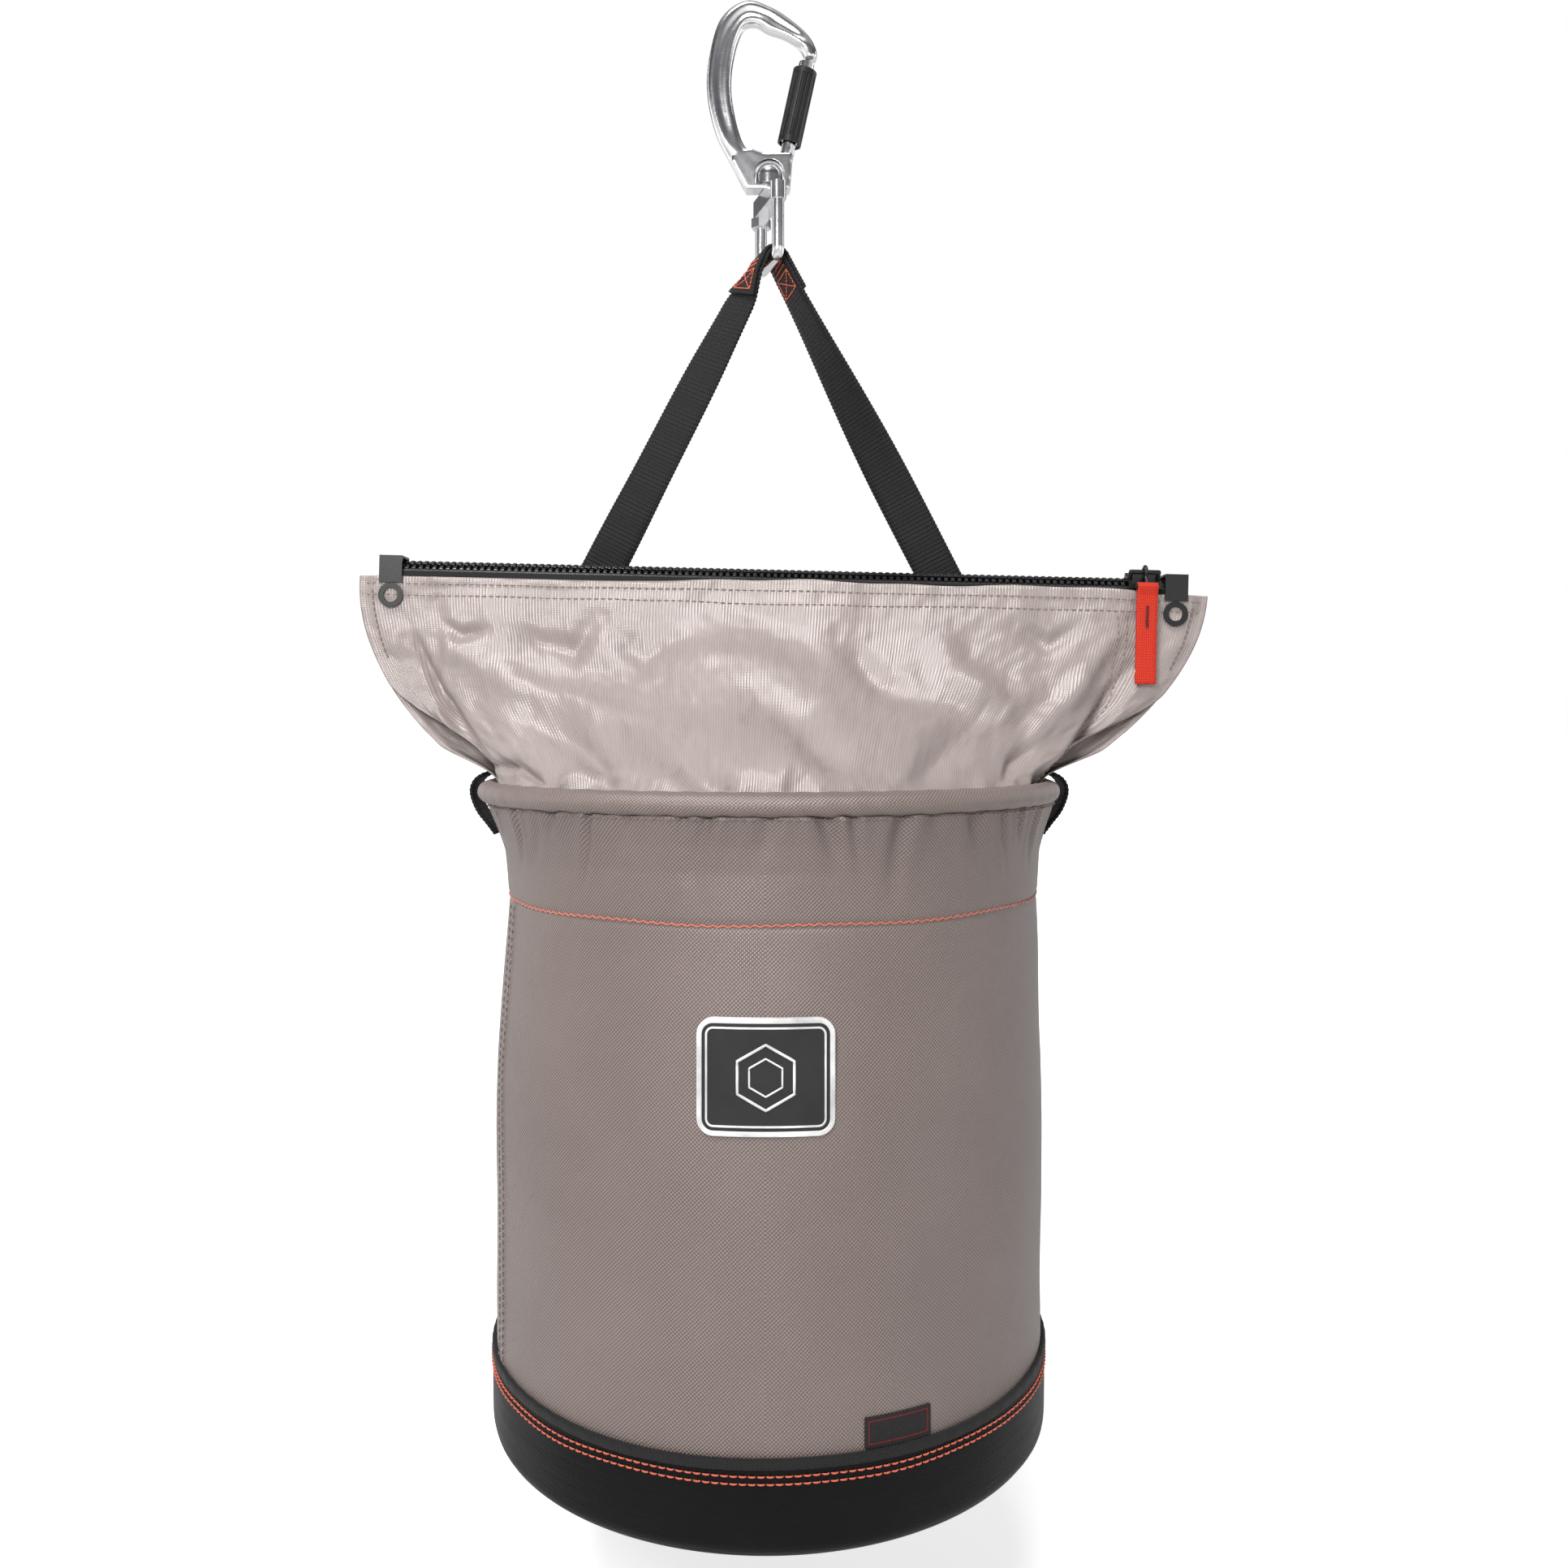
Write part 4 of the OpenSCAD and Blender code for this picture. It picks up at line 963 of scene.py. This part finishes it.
def build_collars():
    for side, name in FACING.items():
        panel, *surface = build_collar(side)

        def sew(piece, runs, color, *size, side=side, surface=surface):
            lines, normals = zip(*(grid_line(side, *surface, us, vs, lift) for us, vs, lift in runs))
            row = stitches(piece, lines, color, *size, normals)
            return finish_piece(row, "bag", "collar_fabric")

        across, up = np.linspace(-0.985, 0.985, 600), np.linspace(0.04, 0.9, 220)
        runs = [(across, np.full_like(across, height), 0.22) for height in (0.968, 0.915)]
        if side < 0:
            gusset = np.interp(up, [0, 0.3, 0.7, 1.0], [0.965, 0.885, 0.835, 0.80])
            runs += [(gusset - shift, up, 0.2) for shift in (0.0, 0.022)]
        else:
            runs += [(np.full_like(up, shift), up, 0.2) for shift in (-0.011, 0.011)]
        sewn = [sew("collar_stitching_" + name, runs, PALE_TAUPE, 4.0, 0.7, 0.34)]
        if side < 0:
            up = np.linspace(0.62, 0.94, 60)
            runs = [(np.full_like(up, end), up, 0.22) for end in (-0.966, 0.966)]
            sewn.append(sew("ear_stitching", runs, TAUPE, 3.4, 0.75, 0.36))


# ---- Zip ----

AT_ZIP = Matrix.Translation((COLLAR_SHIFT, -COLLAR_FWD, ZIP_Z)) @ Matrix.Rotation(ZIP_TILT, 4, "Y")
AT_CHAIN = AT_ZIP @ Matrix.Rotation(ZIP_ROLL, 4, "X")


def through(matrix, points):
    m = np.array(matrix)
    return np.asarray(points, float) @ m[:3, :3].T + m[:3, 3]


def build_teeth():
    count = int((ZIP_L - TOOTH_PITCH) // TOOTH_PITCH)
    start = -count * TOOTH_PITCH / 2 + TOOTH_PITCH * 0.275
    half_outline = [(-1.15, 0.7), (-1.15, 2.0), (-0.8, 2.6), (-1.1, 3.2), (-1.1, 4.0), (-0.6, 4.35)]
    outline = half_outline + [(-x, y) for x, y in half_outline[::-1]]
    # Height and scale of a tooth's levels, drawn in at both ends
    levels = ((-1.7, 0.82), (-1.7 * 0.82, 1.0), (1.7 * 0.82, 1.0), (1.7, 0.82))
    faces = tube_faces(len(levels), len(outline))
    for side, name in FACING.items():
        parts = []
        for i in range(count):
            x0 = start + i * TOOTH_PITCH + (0 if side < 0 else TOOTH_PITCH / 2)
            parts.append((np.array([(x0 + x * k, side * (ROW_EDGE - 2.5 - (y - 2.5) * k), z)
                                    for z, k in levels for x, y in outline]), faces))
        # Cord that the teeth are moulded on
        run = np.linspace(-ZIP_L / 2, ZIP_L / 2, 300)
        parts.append(tube_parts(np.stack([run, 0 * run + side * (ROW_EDGE - 0.75), 0 * run], -1), 0.95, 8))
        points, joined = join_parts(parts)
        node = "zip_teeth_" + name
        made = outward(add_mesh("chain_" + name, through(AT_CHAIN, points), joined, TOOTH, smooth=False))
        finish_piece(bevel(made, 0.22, 2, 50), "bag", "zip_moulding", node)


def build_pull_tab():
    at_link = AT_CHAIN @ Matrix.Translation((SLIDER_X, 0, 8)) @ Matrix.Rotation(math.radians(-70), 4, "X")
    at_tab = at_link @ Matrix.Translation((0, 0, -11)) @ Matrix.Rotation(math.radians(35), 4, "X")
    layer = 1.15
    gap = layer / 2 + 0.08
    loop = layer / 2 + 1.4
    path = [(gap, -TAB_L + 9)] + [(gap, z) for z in np.linspace(-TAB_L + 10, -4.5, 20)]
    path += [(loop * math.cos(a), loop * math.sin(a)) for a in np.radians(np.linspace(-35, 215, 22))]
    path += [(-gap, z) for z in np.linspace(-4.5, -TAB_L + 2.2, 24)]
    path += [(-gap * math.cos(a), -TAB_L + 2.2 - gap * 1.4 * math.sin(a))
             for a in np.radians(np.linspace(20, 160, 8))]
    path += [(gap + 0.3, -TAB_L + 3), (gap + 0.55, -TAB_L + 7.5)]
    yz = np.array(path)
    d = tangents(yz)
    sway = 0.5 * np.sin(np.clip(-yz[:, 1], 0, None) / 15)
    centre = np.stack([0 * d[:, 0], yz[:, 0] + sway, yz[:, 1]], -1)
    normal = np.stack([0 * d[:, 0], -d[:, 1], d[:, 0]], -1)
    turned = np.array(at_tab)[:3, :3]
    samples = [(c, turned[:, 0], turned @ n) for c, n in zip(through(at_tab, centre), normal)]
    tab = ribbon("pull_webbing", samples, TAB_W, layer, WEB_RED, 0.05, 1.6)
    finish_piece(tab, "pull", "red_webbing", "pull_tab")
    down = 11 + 0.42 * np.arange(30)
    out = -gap - layer / 2 - 0.25 + 0.5 * np.sin(down / 15)
    zig = np.stack([np.where(np.arange(30) % 2, 0.7, -0.7), out, -down], -1)
    bar = wire("pull_bartack", through(at_tab, zig), 0.34, BLACK_THREAD, 6)
    finish_piece(bar, "pull", "red_webbing")


# ---- Strap ----

BAR_SIDE = np.array([math.cos(BAIL_TURN), math.sin(BAIL_TURN), 0])
BAR_DIR = np.array([-math.sin(BAIL_TURN), math.cos(BAIL_TURN), 0])
LEG_LEAN = math.atan(FOOT_X / (STRAP_H - STRAP_FOOT))
ARCH_HALF = math.pi / 2 - LEG_LEAN
# The legs' samples stop just short of the arch over the bar
LEG_END = 0.97


def bar_point(r, a):
    return np.array([0, 0, BAR_Z]) + r * (math.sin(a) * BAR_SIDE + np.array([0, 0, math.cos(a)]))


def leg_start(side):
    return np.array([side * FOOT_X, 0, RIM_Z + STRAP_FOOT])


def twist(s, side):
    """The web's turn along a leg, in degrees; the left leg lies flatter to the front below the bail."""
    if s < 0.33:
        return 90 + 90 * float(smooth(s / 0.33))
    flat = 26 * float(smooth((s - 0.5) / 0.3) * smooth((0.985 - s) / 0.08)) if side < 0 else 0
    return 180 + flat - (90 - math.degrees(BAIL_TURN)) * float(smooth((s - 0.33) / 0.67))


def leg_sample(side, s):
    a, b = leg_start(side), bar_point(ARCH_R, side * ARCH_HALF)
    d = unit(b - a) * -side
    e = unit(np.array([math.cos(LEG_LEAN), 0, side * math.sin(LEG_LEAN)]))
    t = math.radians(twist(s, side))
    w0 = e * math.cos(t) + np.array([0, 1, 0]) * math.sin(t)
    w = unit(w0 - d * (w0 @ d))
    return a + (b - a) * s, w, unit(np.cross(d, w))


def arch_sample(a):
    return bar_point(ARCH_R, a), BAR_DIR, unit(math.sin(a) * BAR_SIDE + np.array([0, 0, math.cos(a)]))


def strap_samples(s0, n):
    """The web from a place s0 along the left leg, over the bail's bar, and down the right one."""
    legs = [[leg_sample(side, s0 + (1 - s0) * i / n * LEG_END) for i in range(n + 1)] for side in (-1, 1)]
    return legs[0] + [arch_sample(k / 8 * ARCH_HALF) for k in range(-8, 9)] + legs[1][::-1]


def build_strap():
    strap = ribbon("strap_web", strap_samples(0, 60), WEB_W, WEB_T, WEB_BLACK, 0.16, 2.4)
    finish_piece(strap, "harness", "webbing", "strap")
    leg = np.linalg.norm(leg_start(1) - np.array([0, 0, BAR_Z]))
    s0 = 1 - WRAP_L / leg
    over = [(c + n * (WEB_T + 0.1), w, n) for c, w, n in strap_samples(s0, 10)]
    wrap = ribbon("strap_sleeve", over, WEB_W, WEB_T, WEB_BLACK, 0.12, 2.0)
    finish_piece(wrap, "harness", "webbing", "strap_wrap")

    # Bar tacks and crossed boxes, sewn through near both ends of the wrap
    w, near, far = WEB_W / 2 - 3.5, 0.12, 0.62
    runs = [[(s + 0.03 * (k % 2), -w + 2 * w * k / 24) for k in range(25)] for s in (0.86, 0.74)]
    box = [(near, -w), (near, w), (far, w), (far, -w), (near, -w)]
    for a, b in [*zip(box, box[1:]), (box[0], box[2]), (box[1], box[3])]:
        runs.append([(a[0] + (b[0] - a[0]) * t, a[1] + (b[1] - a[1]) * t) for t in np.linspace(0, 1, 12)])
    lines, normals = [], []
    for side, run, face in ((side, run, face) for side in (-1, 1) for run in runs for face in (1, -1)):
        spots = [leg_sample(side, s0 + (1 - s0) * LEG_END * s) for s, _ in run]
        off = 1.5 * WEB_T + 0.3 if face > 0 else -WEB_T / 2 - 0.1
        lines.append(np.array([c + n * off + across * a for (c, across, n), (_, a) in zip(spots, run)]))
        normals.append(np.array([n * face for _, _, n in spots]))
    tacks = stitches("strap_tacks", lines, ORANGE, 2.4, 0.82, 0.36, normals)
    finish_piece(tacks, "harness", "webbing")


def curve_through(points, steps=8):
    """Smooth curve through points, ends included."""
    p = np.asarray(points, float)
    wide = np.concatenate([p[:1], p, p[-1:]])
    t = (np.arange(steps) / steps)[:, None]
    made = []
    for a, b, c, d in zip(wide, wide[1:], wide[2:], wide[3:]):
        square, cube = 2 * a - 5 * b + 4 * c - d, 3 * b - a - 3 * c + d
        made.append(0.5 * (2 * b + (c - a) * t + square * t ** 2 + cube * t ** 3))
    return np.concatenate(made + [p[-1:]])


ANCHOR_LINE = [(-3, 9), (3, 9), (9, 5), (11, -2), (7.5, -12), (1.5, -20), (-3, -26)]


def side_web(name, line, facing, width, thick):
    """Webbing along a line of (x, z) at the side of the bucket; facing turns its outer face."""
    samples = [(np.array([x, 0, z]), np.array([0, 1.0, 0]), facing * np.array([-q[1], 0, q[0]]))
               for (x, z), q in zip(line, tangents(line))]
    return ribbon(name, samples, width, thick, WEB_BLACK, 0.14, 2.4)


def build_anchors():
    for side, name in ((-1, "left"), (1, "right")):
        line = curve_through(ANCHOR_LINE, 10) * (side, 1) + (side * RIM_R, RIM_Z)
        made = side_web("anchor_web_" + name, line, side, WEB_W, WEB_T)
        finish_piece(made, "bag", "webbing", "anchor_" + name)

        # The foot of the leg rises from the loop's top to the leg's start
        x, z, (leg_x, _, leg_z) = side * (RIM_R - 3), RIM_Z + 9, leg_start(side)
        rise = curve_through([(x + side * 2.5, z + 0.2), (x - side * 0.5, z + 0.9), (x - side * 2.5, z + 4),
                              (leg_x + side * 1.6, leg_z - 4), (leg_x, leg_z)])
        foot = side_web("strap_foot_" + name, rise, -1, WEB_W - 0.2, WEB_T - 0.1)
        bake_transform(foot)


# ---- Carabiner ----

HOOK_OUTER = [(-14, 0), (-23, 16.5), (-31.5, 33.5), (-36.5, 55.5), (-36, 76), (-29, 101), (-14, 112),
              (1, 108), (13, 100.5), (23, 91.5), (27.5, 83.5), (28, 77.5)]
HOOK_INNER = [(-2.5, 19.5), (-10, 21.7), (-16, 29.5), (-20.5, 45.5), (-22.5, 62.5), (-20.5, 80.5),
              (-15.5, 95), (-8.5, 97.5), (-2, 94), (8.5, 90.5), (17.5, 84.5), (21, 77.5)]
HOOK_T = 11.0


def prism(outline, depth):
    """Points and faces of an upright outline of (x, z), depth thick front to back."""
    m = len(outline)
    points = [(x, s * depth / 2, z) for s in (-1, 1) for x, z in outline]
    faces = [list(range(m)), list(range(m, 2 * m))[::-1]]
    faces += [[j, m + j, m + (j + 1) % m, (j + 1) % m] for j in range(m)]
    return np.array(points, float), faces


def cut_with(obj, points, faces):
    """Takes a solid away from a piece."""
    tool = outward(add_mesh("cut_tool", points, faces, ALLOY, smooth=False))
    cut = obj.modifiers.new("cut", "BOOLEAN")
    cut.operation, cut.object, cut.solver = "DIFFERENCE", tool, "EXACT"
    apply_modifiers(obj)
    bpy.data.objects.remove(tool, do_unlink=True)


def apply_modifiers(obj):
    dg = bpy.context.evaluated_depsgraph_get()
    made = bpy.data.meshes.new_from_object(obj.evaluated_get(dg))
    obj.modifiers.clear()
    obj.data = made


def hook_spine():
    """Points and faces of the hook: rounded sections between its outlines, grooved on both faces."""
    outer, inner = curve_through(HOOK_OUTER, 10), curve_through(HOOK_INNER, 10)
    n, sides, power = len(outer), 28, 0.72
    c, s = np.cos(turns(sides)), np.sin(turns(sides))
    across, front = (np.copysign(np.abs(k) ** power, k) for k in (c, s))
    along = np.arange(n) / (n - 1)
    groove = 1.7 * smooth((along - 0.12) / 0.12) * smooth((0.9 - along) / 0.1)
    depth = front * HOOK_T / 2 - groove[:, None] * np.exp(-(across / 0.42) ** 2) * np.copysign(1, s)
    flat = ((outer + inner) / 2)[:, None] + ((outer - inner) / 2)[:, None] * across[:, None]
    points = np.stack([flat[..., 0], depth, HOOK_Z + flat[..., 1]], -1).reshape(-1, 3)
    return points, tube_faces(n, sides)


def arc(x, z, radius, angles):
    """Arc in the hook's plane, x and z from the hook's foot."""
    return [(x + radius * math.cos(a), HOOK_Z + z + radius * math.sin(a)) for a in angles]


def build_carabiner():
    # Boss round the swivel, with its arched window and the gate's tang
    boss = [(-14, 0), (12, 0), (13.5, 19.5), (13.5, 21.5), (-3, 21), (-11, 24), (-17, 22), (-22.5, 17)]
    boss = prism([(x, HOOK_Z + z) for x, z in boss], HOOK_T)
    body = outward(add_mesh("hook_forging", *join_parts([hook_spine(), boss]), ALLOY))
    skin = body.modifiers.new("skin", "REMESH")
    skin.mode, skin.voxel_size = "VOXEL", 0.75 * MM
    eased = body.modifiers.new("soften", "SMOOTH")
    eased.factor, eased.iterations = 0.5, 9
    apply_modifiers(body)
    window_r, floor = 8.8, 3.0
    window = arc(0, 8.7, window_r, np.linspace(0, math.pi, 40))
    cut_with(body, *prism(window + [(-window_r, HOOK_Z + floor), (window_r, HOOK_Z + floor)], 30))
    cut_with(body, *tube_parts([(0, 0, HOOK_Z + z) for z in (-3, floor + 1)], 3.55, 48))
    body.data.polygons.foreach_set("use_smooth", np.ones(len(body.data.polygons), bool))
    finish_piece(bevel(body, 0.5, 3, 50), "carabiner", "polished_alloy", "carabiner_body")

    foot_x, foot_z = 10.8, 24.4
    outline = arc(foot_x, foot_z, 4, np.linspace(-0.5, math.pi + 0.5, 20))
    outline += [(foot_x - 4, HOOK_Z + 18), (13.5, HOOK_Z + 18)]
    tang = outward(add_mesh("hook_tang", *prism(outline, 4.0), ALLOY, smooth=False))
    cut_with(tang, *tube_parts([(foot_x, y, HOOK_Z + foot_z) for y in (-8, 8)], 1.6, 32))
    finish_piece(bevel(tang, 0.4, 2, 50), "carabiner", "polished_alloy")


# ---- CAD pieces that stay, with their finish and eased edges ----

# Material of each, and the width of its eased edges in millimetres
KEPT = {
    "zip_tape_front": (TAPE, 0.1), "zip_tape_back": (TAPE, 0.1),
    "corner_tab_left": (VINYL, 0.5), "corner_tab_right": (VINYL, 0.5),
    "grommet_left": (BLACK_METAL, 0.35), "grommet_right": (BLACK_METAL, 0.35),
    "grommet_washer_left": (BLACK_METAL, 0.3), "grommet_washer_right": (BLACK_METAL, 0.3),
    "zip_slider": (BLACK_METAL, 0.35), "pull_link": (BLACK_METAL, 0), "bail": (STEEL, 0),
    "bail_nut": (STEEL, 0.5), "swivel_yoke": (STEEL, 0.8), "swivel_stem": (STEEL, 0.3),
    "gate": (ALLOY, 0.3), "gate_rivet": (STEEL, 0.3), "gate_spring": (SPRING, 0),
    "lock_sleeve": (SLEEVE, 0.3), "sleeve_spring": (SPRING, 0), "rim_hoop": (TAPE, 0),
    "base_board": (BOARD, 0.5),
}


def finish_kept():
    for name, (material, edge) in KEPT.items():
        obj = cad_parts[name]
        obj.data.materials.clear()
        obj.data.materials.append(material)
        obj.data.polygons.foreach_set("material_index", np.zeros(len(obj.data.polygons), np.int32))
        if edge:
            bevel(obj, edge)


# ---- Studio ----


def add_light(name, kind, location, aim, power, size=(0, 0)):
    """A light that looks along aim; size is an area light's width and height, in metres."""
    lamp = bpy.data.lights.new(name, kind)
    lamp.energy = power
    if kind == "AREA":
        lamp.shape, lamp.size, lamp.size_y = "RECTANGLE", *size
    made = bpy.data.objects.new(name, lamp)
    made.location = location
    made.rotation_euler = aim.to_track_quat("-Z", "Y").to_euler()
    bpy.context.scene.collection.objects.link(made)
    return lamp


def build_floor():
    look = Shader("pale_floor", (0.86, 0.86, 0.86), 0.8)
    look.color(look.noise(look.coords(), 3.0), [(0.3, (0.85, 0.85, 0.85)), (0.7, (0.87, 0.87, 0.87))])
    # The floor glows for the camera only, so it runs into the white backdrop
    seen = look.node("ShaderNodeLightPath").outputs["Is Camera Ray"]
    look.put(look.math("MULTIPLY", seen, 0.72), look.inputs["Emission Strength"])
    look.inputs["Emission Color"].default_value = (1, 1, 1, 1)
    bpy.ops.mesh.primitive_circle_add(vertices=96, radius=60, fill_type="NGON",
                                      location=(0, 0, base_lo.z - 0.12))
    floor = bpy.context.object
    floor.name = "studio_floor"
    floor.data.materials.append(look.material)


def build_world():
    world = bpy.data.worlds.new("studio")
    bpy.context.scene.world = world
    world.use_nodes = True
    room = Nodes(world.node_tree)
    at = room.node("ShaderNodeTexCoord").outputs["Generated"]
    height = room.node("ShaderNodeSeparateXYZ", {"Vector": at}).outputs["Z"]
    sky = room.ramp(height, [(0.0, (0.9, 0.9, 0.9)), (0.2, (0.62, 0.62, 0.62)), (0.34, (0.10, 0.10, 0.11)),
                             (0.62, (0.05, 0.05, 0.055)), (0.9, (0.34, 0.34, 0.345))])
    seen = room.node("ShaderNodeLightPath").outputs
    # Polished parts reflect a brighter room than the one that fills the shadows
    glow = room.spread(seen["Is Glossy Ray"], 0.3, 1.35)
    back = room.tree.nodes["Background"]
    room.put(sky, back.inputs["Color"])
    room.put(glow, back.inputs["Strength"])
    # The backdrop itself is plain white
    white = room.node("ShaderNodeBackground", {"Color": (1, 1, 1, 1)})
    both = {0: seen["Is Camera Ray"], 1: back.outputs["Background"], 2: white.outputs["Background"]}
    mix = room.node("ShaderNodeMixShader", both)
    room.put(mix.outputs["Shader"], room.tree.nodes["World Output"].inputs["Surface"])


def build_studio():
    build_floor()
    build_world()
    overhead = add_light("overhead", "SUN", (0, 0, 0), Vector((0.16, 0.44, -0.88)), 2.6)
    overhead.angle = math.radians(24)
    middle = Vector((ORIGIN.x, 0, -0.42))
    for name, location, target, size, power in (
            ("key", (-0.3, -0.95, 0.02), Vector((ORIGIN.x, 0, -0.38)), (0.3, 0.3), 7.5),
            ("fill", (1.4, -1.5, -0.3), middle, (0.6, 1.4), 3),
            ("strip_left", (-1.5, 0.5, 0.2), middle, (0.25, 1.4), 3),
            ("strip_right", (1.5, 0.6, 0.2), middle, (0.25, 1.4), 3)):
        add_light(name, "AREA", location, target - Vector(location), power, size)
    bpy.context.scene.view_settings.view_transform = "Standard"

    camera = bpy.data.cameras.new("camera")
    camera.lens, camera.sensor_width, camera.shift_y = 30.75, 36, -0.0396
    camera.clip_start = 0.01
    made = bpy.data.objects.new("camera", camera)
    made.location = (0.0171, -0.790, -0.410)
    made.rotation_euler = (math.pi / 2, 0, 0)
    bpy.context.scene.collection.objects.link(made)
    bpy.context.scene.camera = made


for build in (build_studio, build_body, build_binding, build_base, build_badge, build_collars, build_teeth,
              build_pull_tab, build_strap, build_anchors, build_carabiner, finish_kept):
    build()
